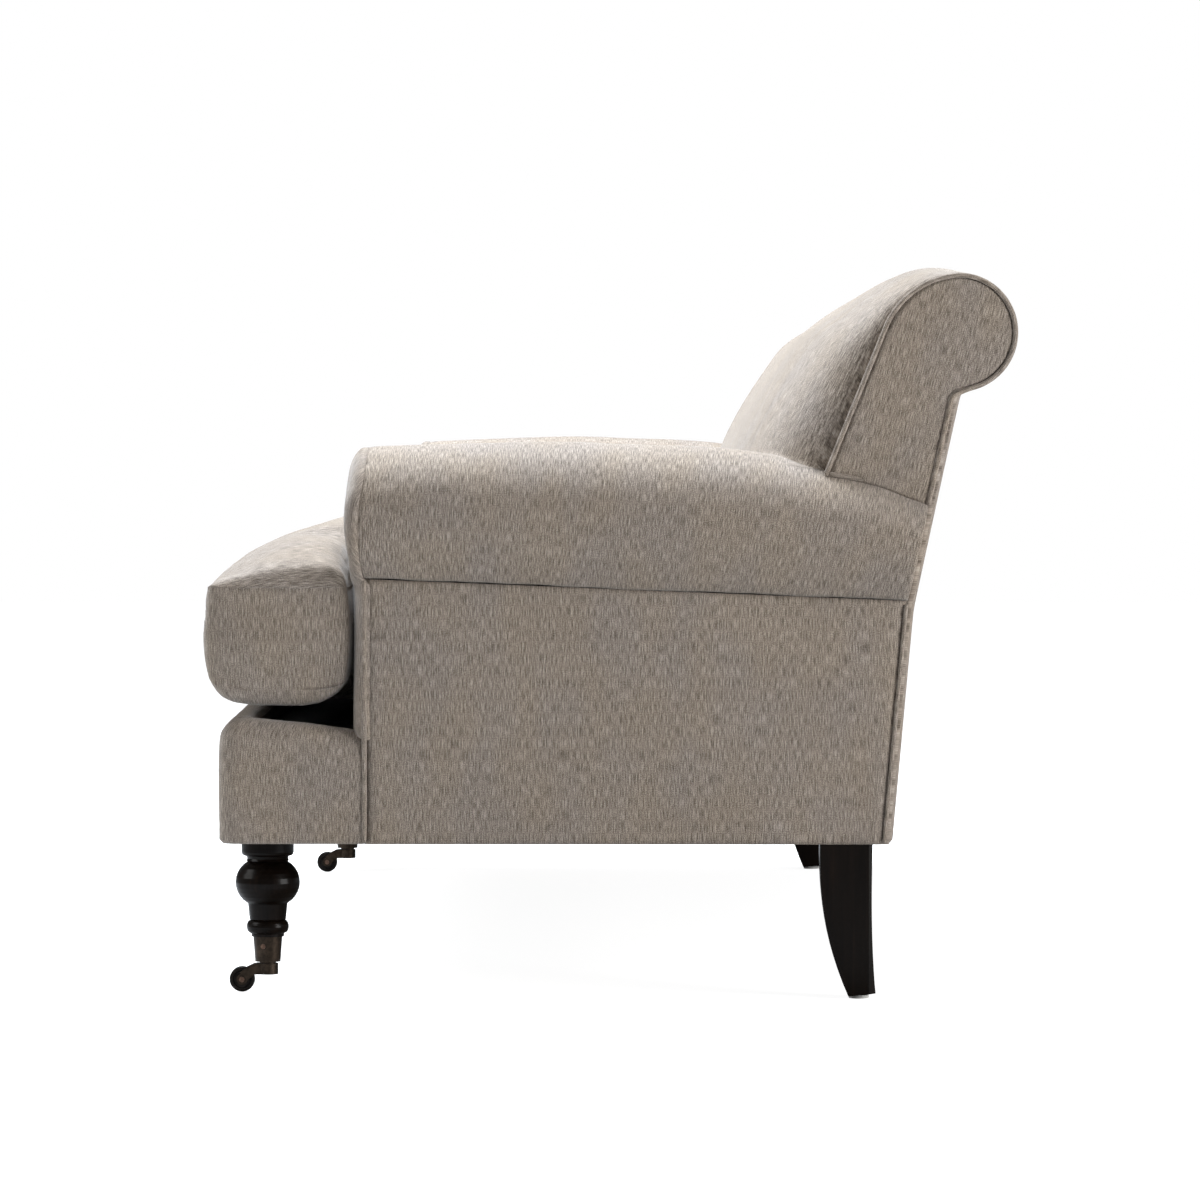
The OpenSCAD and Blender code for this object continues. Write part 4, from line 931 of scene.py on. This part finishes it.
# Height of its returns, by the share of the way from an arm to the corner
RETURN_FALL = ((0, 0.87), (0.06, 0.9), (0.5, 0.955), (1, 1))
SIDE_POINTS = 39
CORNER_POINTS = 16
FRONT_POINTS = 109
INSIDE_POINTS = 6
BORDER_END_ROUND = 7 * MM
BORDER_HEM_ROUND = 4 * MM
BORDER_WAVES = ((1.5, 0.15, 51), (0.6, 0.04, 53))


def border_path():
    """Outer and inner line of the border in plan, from one arm front round to the other, with its rise."""
    y0, y1, inner_y = ARM_FRONT_Y - 0.3 * MM, BORDER_FRONT_Y + CORNER_R, BORDER_FRONT_Y + BORDER_T
    along = np.linspace(0, 1, SIDE_POINTS, endpoint=False)
    turns = np.linspace(0, math.pi / 2, CORNER_POINTS)
    front_x = np.linspace(HALF_W - CORNER_R, 0, FRONT_POINTS + 1)[1:]

    def line(*stretches):
        return np.concatenate([coords(x, y) for x, y in stretches])

    outer = line((HALF_W, y0 + (y1 - y0) * along),
                 (HALF_W - CORNER_R * (1 - np.cos(turns)), y1 - CORNER_R * np.sin(turns)),
                 (front_x, BORDER_FRONT_Y))
    inner = line((HALF_W - BORDER_T, y0 + (inner_y - y0) * along),
                 (HALF_W - BORDER_T - turns * MM / 8, inner_y + (turns[-1] - turns) * MM / 8),
                 (front_x, inner_y))
    rise = np.concatenate([read_table(RETURN_FALL, along), np.ones(CORNER_POINTS),
                           1 + BORDER_CROWN * np.cos(math.pi / 2 * front_x / HALF_W)])
    rise = np.convolve(np.pad(rise, 4, "edge"), np.ones(9) / 9, "valid")
    outer, inner = (there_and_back(half, half * (-1, 1)) for half in (outer, inner))
    return outer, inner, there_and_back(rise)


def front_border():
    """The padded face under the cushions, from arm front to arm front."""
    outer, inner, rise = border_path()
    section = spline(np.array(BORDER_OUT, float), 60)
    section[:, 1] = np.maximum(section[:, 1], 0)
    across, up = section.T
    run = run_lengths(outer)
    plan = outer[:, None] + (inner - outer)[:, None] * np.clip(across, -0.02, 1)[None, :, None]
    skin = np.concatenate([plan, (BASE_Z + BORDER_H * up[None] * rise[:, None])[..., None]], -1)
    outward = (skin - np.array([0, 0, BASE_Z + 0.05])) * (1, 1, 4)
    end_gap = np.minimum(run, run[-1] - run)[:, None]
    hem = rounded_in(skin[..., 2] - BASE_Z, BORDER_HEM_ROUND)
    fall = np.maximum(rounded_in(end_gap, BORDER_END_ROUND), hem)
    skin -= grid_normals(skin, outward) * fall[..., None]
    fade = fade_in(end_gap, 25 * MM) * fade_in(up, 0.15)
    skin = undulate(skin, outward, BORDER_WAVES, fade)
    inside_z = BASE_Z + BORDER_H * rise[:, None] * np.linspace(0.9, 0, INSIDE_POINTS)
    inside = coords(inner[:, None, 0], inner[:, None, 1], inside_z)
    rings = np.concatenate([skin, inside], 1)
    lengths = run_lengths(section * (BORDER_T, BORDER_H))
    lengths = np.concatenate([lengths, lengths[-1] + np.linspace(0.01, BORDER_H, INSIDE_POINTS)])
    border = loft("front_border_pad", rings, coords(run[:, None], lengths))
    finish(border, "frame", "front_border")


front_border()


# Deck and underside

def slab(name, xs, ys, kept, high, low=None):
    """Black skin over the cells of a grid in plan that kept allows, between two heights, or one sheet."""
    corners, verts, faces = {}, [], []

    def corner(i, j, height):
        if (i, j, height) not in corners:
            corners[i, j, height] = len(verts)
            verts.append((xs[i], ys[j], height(xs[i], ys[j])))
        return corners[i, j, height]

    cells = {(i, j) for i in range(len(xs) - 1) for j in range(len(ys) - 1)
             if kept((xs[i] + xs[i + 1]) / 2, (ys[j] + ys[j + 1]) / 2)}
    for i, j in sorted(cells):
        ring = [(i, j), (i + 1, j), (i + 1, j + 1), (i, j + 1)]
        faces.append([corner(*c, high) for c in ring])
        if low is None:
            continue
        faces.append([corner(*c, low) for c in ring[::-1]])
        for k, beyond in enumerate(((i, j - 1), (i + 1, j), (i, j + 1), (i - 1, j))):
            if beyond not in cells:
                a, b = ring[k], ring[(k + 1) % 4]
                faces.append([corner(*b, high), corner(*a, high), corner(*a, low), corner(*b, low)])
    return new_object(name, verts, faces, np.array(verts)[:, :2], BLACK)


def steps_through(step, *places):
    """Places in order with even steps of about that size between them."""
    places = sorted(places)
    runs = [np.linspace(a, b, max(2, round((b - a) / step) + 1))[:-1] for a, b in zip(places, places[1:])]
    return np.concatenate(runs + [[places[-1]]])


DECK_LOW, DECK_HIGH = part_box("deck_cloth")
COVER_LOW, COVER_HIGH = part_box("dust_cover")
POSTS = [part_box(f"back_post_{place}") for place in ("left", "centre", "right")]
POST_GAP = 0.6 * MM
DECK_STEP = 14 * MM
COVER_STEP = 16 * MM
DECK_WAVES = ((1.6, 0.11, 81), (0.5, 0.03, 82))
DECK_SINK = 2.2 * MM
DECK_ROUND = 5 * MM
COVER_HEM = 34 * MM
COVER_FREE = 120 * MM
COVER_LIFT = 1.2 * MM
COVER_WAVE = 1.5 * MM


def deck():
    """Quilted black pad over the springs, wider in front of the arms and cut round the back's posts."""
    step_y = ARM_FRONT_Y - 1.2 * MM
    inner = ARM_IN_X - 0.6 * MM
    post_y = POSTS[0][0].y - POST_GAP
    cuts = [(low.x - POST_GAP, high.x + POST_GAP) for low, high in POSTS]

    def kept(x, y):
        in_post = y > post_y and any(a < x < b for a, b in cuts)
        return y < step_y or (abs(x) < inner and not in_post)

    def top(x, y):
        edge = min(abs(abs(x) - inner), abs(y - DECK_LOW.y), abs(DECK_HIGH.x - abs(x)) + (y > step_y))
        quilt = sum(ripple((x, y, 0), size, seed) * height for height, size, seed in DECK_WAVES)
        return DECK_HIGH.z - DECK_SINK + quilt * MM - rounded_in(edge, DECK_ROUND) * 0.8

    xs = steps_through(DECK_STEP, DECK_LOW.x, DECK_HIGH.x, -inner, inner, *(x for cut in cuts for x in cut))
    ys = steps_through(DECK_STEP, DECK_LOW.y, step_y, post_y, DECK_HIGH.y)
    pad = slab("deck_pad", xs, ys, kept, top, lambda x, y: DECK_LOW.z)
    finish(pad, "frame", "deck_cloth")


def dust_cover():
    """Black cambric stretched and stapled under the rails."""

    def sag(x, y):
        inward = min(COVER_HIGH.x - abs(x), y - COVER_LOW.y, COVER_HIGH.y - y)
        free = fade_in(inward - COVER_HEM, COVER_FREE)
        return COVER_LOW.z + COVER_LIFT + free * (ripple((x, y, 0), 0.2, 91) + 1) * COVER_WAVE

    xs = steps_through(COVER_STEP, COVER_LOW.x, COVER_HIGH.x)
    ys = steps_through(COVER_STEP, COVER_LOW.y, COVER_HIGH.y)
    cover = slab("dust_cloth", xs, ys, lambda x, y: True, sag)
    finish(cover, "frame", "dust_cover")


deck()
dust_cover()


# Seat cushions

CUSHION_BOXES = {"centre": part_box("seat_cushion_centre"), "left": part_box("seat_cushion_left")}
TOP_SEAM_Z = 492 * MM
TOP_CROWN = 78 * MM
EAR_REAR_Y = ARM_FRONT_Y - POST_SWELL - 2.4 * MM
# Share of the crown by the distance in millimetres from the nose or rear, an end and the ear's inner corner
CROWN_RUN = ((0, 0), (6, 0.1), (15, 0.21), (30, 0.32), (46, 0.43), (86, 0.68), (138, 0.87), (190, 0.965),
             (240, 1))
END_CROWN_RUN = ((0, 0), (2, 0.2), (5, 0.34), (9, 0.42), (16, 0.48), (30, 0.53), (46, 0.59), (86, 0.76),
                 (138, 0.9), (190, 0.97), (240, 1))
EAR_CROWN_RUN = ((0, 0), (3, 0.3), (8, 0.55), (16, 0.74), (30, 0.88), (60, 0.97), (100, 1))
CROWN_ROUNDING = (0.85, 0.93, 1, 1.07, 1.15)
# Share of the underside's fall from the lower seam, by the distance in millimetres from the same edges
NOSE_DROP = ((0, 0), (6, 0.2), (14, 0.44), (24, 0.66), (36, 0.83), (60, 0.98), (100, 1))
EAR_REAR_DROP = ((0, 0), (9, 0.14), (18, 0.37), (38, 0.84), (60, 1))
END_DROP = ((0, 0), (2, 0.24), (5, 0.43), (9, 0.62), (15, 0.81), (22, 0.93), (32, 1))
SEAM_LOW_Z = 371.5 * MM
REST_Z = 349.5 * MM
NOSE_LIFT = 15.5 * MM
NOSE_LIFT_REACH = 45 * MM
EAR_LIFT = 10 * MM
EAR_LIFT_REACH = 40 * MM
PLAN_POINTS = 420
BOXING_STEPS = 26
TUCK_LOW = 7.5 * MM
TUCK_HIGH = 4.5 * MM
SHOULDER_SHARE = 0.08
FOLD_H = 0.5 * MM
PIPING_GROOVE = 0.5 * MM
CUSHION_WAVES = ((1.4, 0.12, 60), (0.5, 0.045, 70))
# Places in plan that the rings of an end cushion and of the centre one close in on
END_MIDDLE = (0.57, -0.37)
CENTRE_MIDDLE = (0, -0.2)


def crown_run(distance, table=CROWN_RUN):
    return sum(read_table(table, distance / MM * k) for k in CROWN_ROUNDING) / len(CROWN_ROUNDING)


def sides_of(shape, plan):
    """Distances of points in plan from a cushion's nose, rear, two ends and the corner behind its ear."""
    low, high = CUSHION_BOXES[shape]
    x, y = plan[..., 0], plan[..., 1]
    ear = np.full(x.shape, 1.0)
    if shape == "left":
        ear = np.hypot(np.maximum(0, ARM_IN_X - x), np.maximum(0, EAR_REAR_Y - y))
    return (*(np.maximum(gap, 0) for gap in (y - low.y, high.y - y, x - low.x, high.x - x)), ear)


def cushion_plan(shape):
    """Outline of a cushion in plan, anticlockwise, with rounded corners."""
    low, high = CUSHION_BOXES[shape]
    corners = [(low.x, low.y), (high.x, low.y), (high.x, high.y), (low.x, high.y)]
    radii = [12, 12, 12, 12]
    if shape == "left":
        inner = ARM_IN_X - 0.8 * MM
        corners[2:3] = [(high.x, EAR_REAR_Y), (inner, EAR_REAR_Y), (inner, high.y)]
        radii = [12, 24, 11, 8, 12, 12]
    points = []
    t = np.linspace(0, 1, 9)[:, None]
    for i, radius in enumerate(radii):
        here = np.array(corners[i])
        before, after = (np.array(corners[k % len(corners)]) - here for k in (i - 1, i + 1))
        before = before / np.linalg.norm(before) * (radius * MM)
        after = after / np.linalg.norm(after) * (radius * MM)
        points.append(here + before * (1 - t) ** 2 + after * t ** 2)
    return resample(np.concatenate(points + [points[0][:1]]), PLAN_POINTS)[:-1]


def cushion_top(shape, plan):
    """Height of a cushion's crown at points in plan."""
    nose, rear, *ends, ear = sides_of(shape, plan)
    rise = crown_run(nose) * crown_run(rear * 1.1) * crown_run(ear, EAR_CROWN_RUN)
    for end in ends:
        rise = rise * crown_run(end, END_CROWN_RUN)
    return TOP_SEAM_Z + TOP_CROWN * rise


def low_seam_z(shape, plan):
    """Height of a cushion's lower seam, which climbs a little at the nose and at the ear's rear."""
    nose, *_, ear = sides_of(shape, plan)
    over_ear = fade_in(plan[..., 0] - ARM_IN_X + EAR_LIFT_REACH, EAR_LIFT_REACH)
    ear_seam = EAR_LIFT * (1 - fade_in(ear, EAR_LIFT_REACH)) ** 1.5 * over_ear
    return SEAM_LOW_Z + NOSE_LIFT * (1 - fade_in(nose, NOSE_LIFT_REACH)) ** 1.5 + ear_seam


def underside_z(shape, plan):
    """Height of a cushion's underside, which comes down from the lower seam to rest on the deck."""
    nose, rear, *ends, ear = sides_of(shape, plan)
    fall = drop(NOSE_DROP, nose) * drop(EAR_REAR_DROP, ear) * drop(END_DROP, ends[1])
    fall = fall * drop(END_DROP, ends[0]) * drop(END_DROP, rear)
    seam = low_seam_z(shape, plan)
    return seam - (seam - REST_Z) * fall


def ring_run(rings):
    """Length along each column of points, ring by ring."""
    steps = np.linalg.norm(np.diff(rings, axis=0), axis=2)
    return np.concatenate([np.zeros_like(steps[:1]), np.cumsum(steps, axis=0)])


def held(points):
    """The top seam of a cushion, and the underside that rests on the deck, stay where they are."""
    z = points[:, 2]
    resting = np.clip((REST_Z + 15 * MM - z) / (8 * MM), 0, 1)
    return np.minimum(np.clip(1.3 - np.abs(z - TOP_SEAM_Z) / (12 * MM), 0, 1) + resting, 1)


def seat_cushion(place, sign):
    """A loose cushion: rings over its underside, up its boxing and over its crown, with soft folds."""
    shape = "left" if sign else "centre"
    middle = END_MIDDLE if sign else CENTRE_MIDDLE
    plan = cushion_plan(shape)
    shares = np.concatenate([np.linspace(0, 1, 13) ** 1.6 * SHOULDER_SHARE,
                             np.linspace(SHOULDER_SHARE, 0.995, 50)[1:]])
    run = run_lengths(np.concatenate([plan, plan[:1]]))[:-1]
    tangent = np.gradient(np.concatenate([plan[-1:], plan, plan[:1]]), axis=0)[1:-1]
    outward = coords(tangent[:, 1], -tangent[:, 0])
    outward /= np.linalg.norm(outward, axis=1)[:, None]

    under, over = [], []
    for share in shares:
        full = plan + (middle - plan) * share
        tuck = outward * (1 - share) ** 8
        under.append(coords(*(full - tuck * TUCK_LOW).T, underside_z(shape, full)))
        over.append(coords(*(full - tuck * TUCK_HIGH).T, cushion_top(shape, full)))
    under, over = np.array(under), np.array(over)
    low_seam = low_seam_z(shape, plan)
    turned = low_seam - ring_run(under)
    rings = list(under[::-1])
    uvs = [coords(run, turned[i]) if shares[i] < SHOULDER_SHARE else under[i, :, :2]
           for i in range(len(shares))[::-1]]
    for step in np.linspace(0, 1, BOXING_STEPS):
        z = low_seam + (TOP_SEAM_Z - low_seam) * step
        at = plan - outward * (TUCK_LOW * (1 - step) ** 3 + TUCK_HIGH * step ** 3)
        rings.append(coords(*at.T, z))
        uvs.append(coords(run, z))
    climb = ring_run(over) - ring_run(over[..., :2])
    rings += list(over)
    uvs += [over[i, :, :2] + outward * (climb[-1] - climb[i])[:, None] * (1 - share) ** 2
            for i, share in enumerate(shares)]
    rows = np.arange(len(rings))[:, None]
    seam_rows = (len(shares), len(shares) + BOXING_STEPS - 1)
    near_seam = sum(share * np.exp(-np.abs(rows - s) / 3.0) for s, share in zip(seam_rows, (0.15, 1)))
    fold = np.sin(run / (19 * MM) + 2 * np.sin(run / (61 * MM)) + sign)
    rings = np.array(rings)
    closed = np.concatenate([rings[:, -1:], rings, rings[:, :1]], 1)
    normals = grid_normals(closed, closed - np.array([*middle, (SEAM_LOW_Z + TOP_SEAM_Z) / 2]))[:, 1:-1]
    push = sum(np.array([ripples(row, size, seed + sign) for row in rings]) * height
               for height, size, seed in CUSHION_WAVES) * MM
    push += FOLD_H * near_seam * fold - PIPING_GROOVE * np.exp(-((rows - seam_rows[1]) / 0.8) ** 2)
    rings += normals * push[..., None]
    cushion = loft(f"cushion_{place}_pad", on_side(rings, sign or 1), np.array(uvs))
    puff(cushion, held)
    finish(cushion, f"cushion_{place}", f"seat_cushion_{place}")


for place_name, place_sign in (("left", 1), ("centre", 0), ("right", -1)):
    seat_cushion(place_name, place_sign)


# Camera, light and floor

# Where the photo's camera stood, its focal length in pixels, and the direction of the picture's middle
CAMERA = Vector((7.924, 0.0445, 0.693))
FOCAL_PX = 5778
PICTURE_PX = 1200
AIM = Vector((-1, -48 / FOCAL_PX, -180.5 / FOCAL_PX))
SENSOR_MM = 36
AMBIENT = 0.17
FLOOR_REACH = 14
FLOOR_LIFT = 0.9
SHADOW_R = 1.3
WHITE_R = 3.2
# Name, place, aim, size, power and colour of each light
LIGHTS = (("top_light", (-0.2, -0.65, 3.3), (-0.1, -0.2, 0.45), (2.2, 2.4), 355, (0.85, 0.92, 1.0)),
          ("side_light", (2.7, 3.4, 1.1), (0.8, 0.1, 0.4), (2.2, 1.8), 139, WHITE),
          ("front_light", (1.5, -3.6, 2.2), (0.8, 0.1, 0.55), (2.4, 1.8), 64, WHITE))


def put(obj, place, direction):
    obj.location = place
    obj.rotation_euler = direction.to_track_quat("-Z", "Y").to_euler()


def camera():
    data = bpy.data.cameras.new("photo_camera")
    data.sensor_width = SENSOR_MM
    data.lens = FOCAL_PX * SENSOR_MM / PICTURE_PX
    data.clip_end = 60
    obj = add_object("photo_camera", data)
    put(obj, CAMERA, AIM)
    bpy.context.scene.camera = obj


def area_light(name, place, aim, size, power, colour):
    data = bpy.data.lights.new(name, "AREA")
    data.shape = "RECTANGLE"
    data.size, data.size_y = size
    data.energy = power
    data.color = colour
    obj = add_object(name, data)
    put(obj, place, Vector(aim) - Vector(place))


def paper():
    """Floor that keeps the shadow near the object and is lifted to white for the camera farther away."""
    n = Nodes("studio_paper")
    seen = n.out("LightPath", "Is Camera Ray")
    away = n.out("VectorMath", "Value", {0: n.place()}, operation="LENGTH")
    reach = {"Value": away, "From Min": SHADOW_R, "From Max": WHITE_R, "To Min": FLOOR_LIFT, "To Max": 1.0}
    far = n.out("MapRange", "Result", reach, interpolation_type="SMOOTHSTEP")
    return n.set(Base_Color=(0.5, 0.5, 0.5, 1), Roughness=0.9, Specular_IOR_Level=0.0,
                 Emission_Color=(*WHITE, 1), Emission_Strength=n.math("MULTIPLY", seen, far))


def studio_world():
    """White behind the object, and a dimmer even light on it."""
    world = bpy.data.worlds.new("studio_world")
    world.use_nodes = True
    tree = world.node_tree
    shown = tree.nodes["Background"]
    path = tree.nodes.new("ShaderNodeLightPath")
    strength = tree.nodes.new("ShaderNodeMix")
    tree.links.new(path.outputs["Is Camera Ray"], strength.inputs[0])
    strength.inputs[2].default_value = AMBIENT
    strength.inputs[3].default_value = 1.0
    tree.links.new(strength.outputs[0], shown.inputs["Strength"])
    shown.inputs["Color"].default_value = (*WHITE, 1)
    bpy.context.scene.world = world


def stage():
    corners = [(x * FLOOR_REACH, y * FLOOR_REACH, 0) for x, y in ((-1, -1), (1, -1), (1, 1), (-1, 1))]
    new_object("studio_floor", corners, [(0, 1, 2, 3)], material=paper())
    studio_world()
    for light in LIGHTS:
        area_light(*light)
    bpy.context.scene.view_settings.view_transform = "Standard"


camera()
stage()
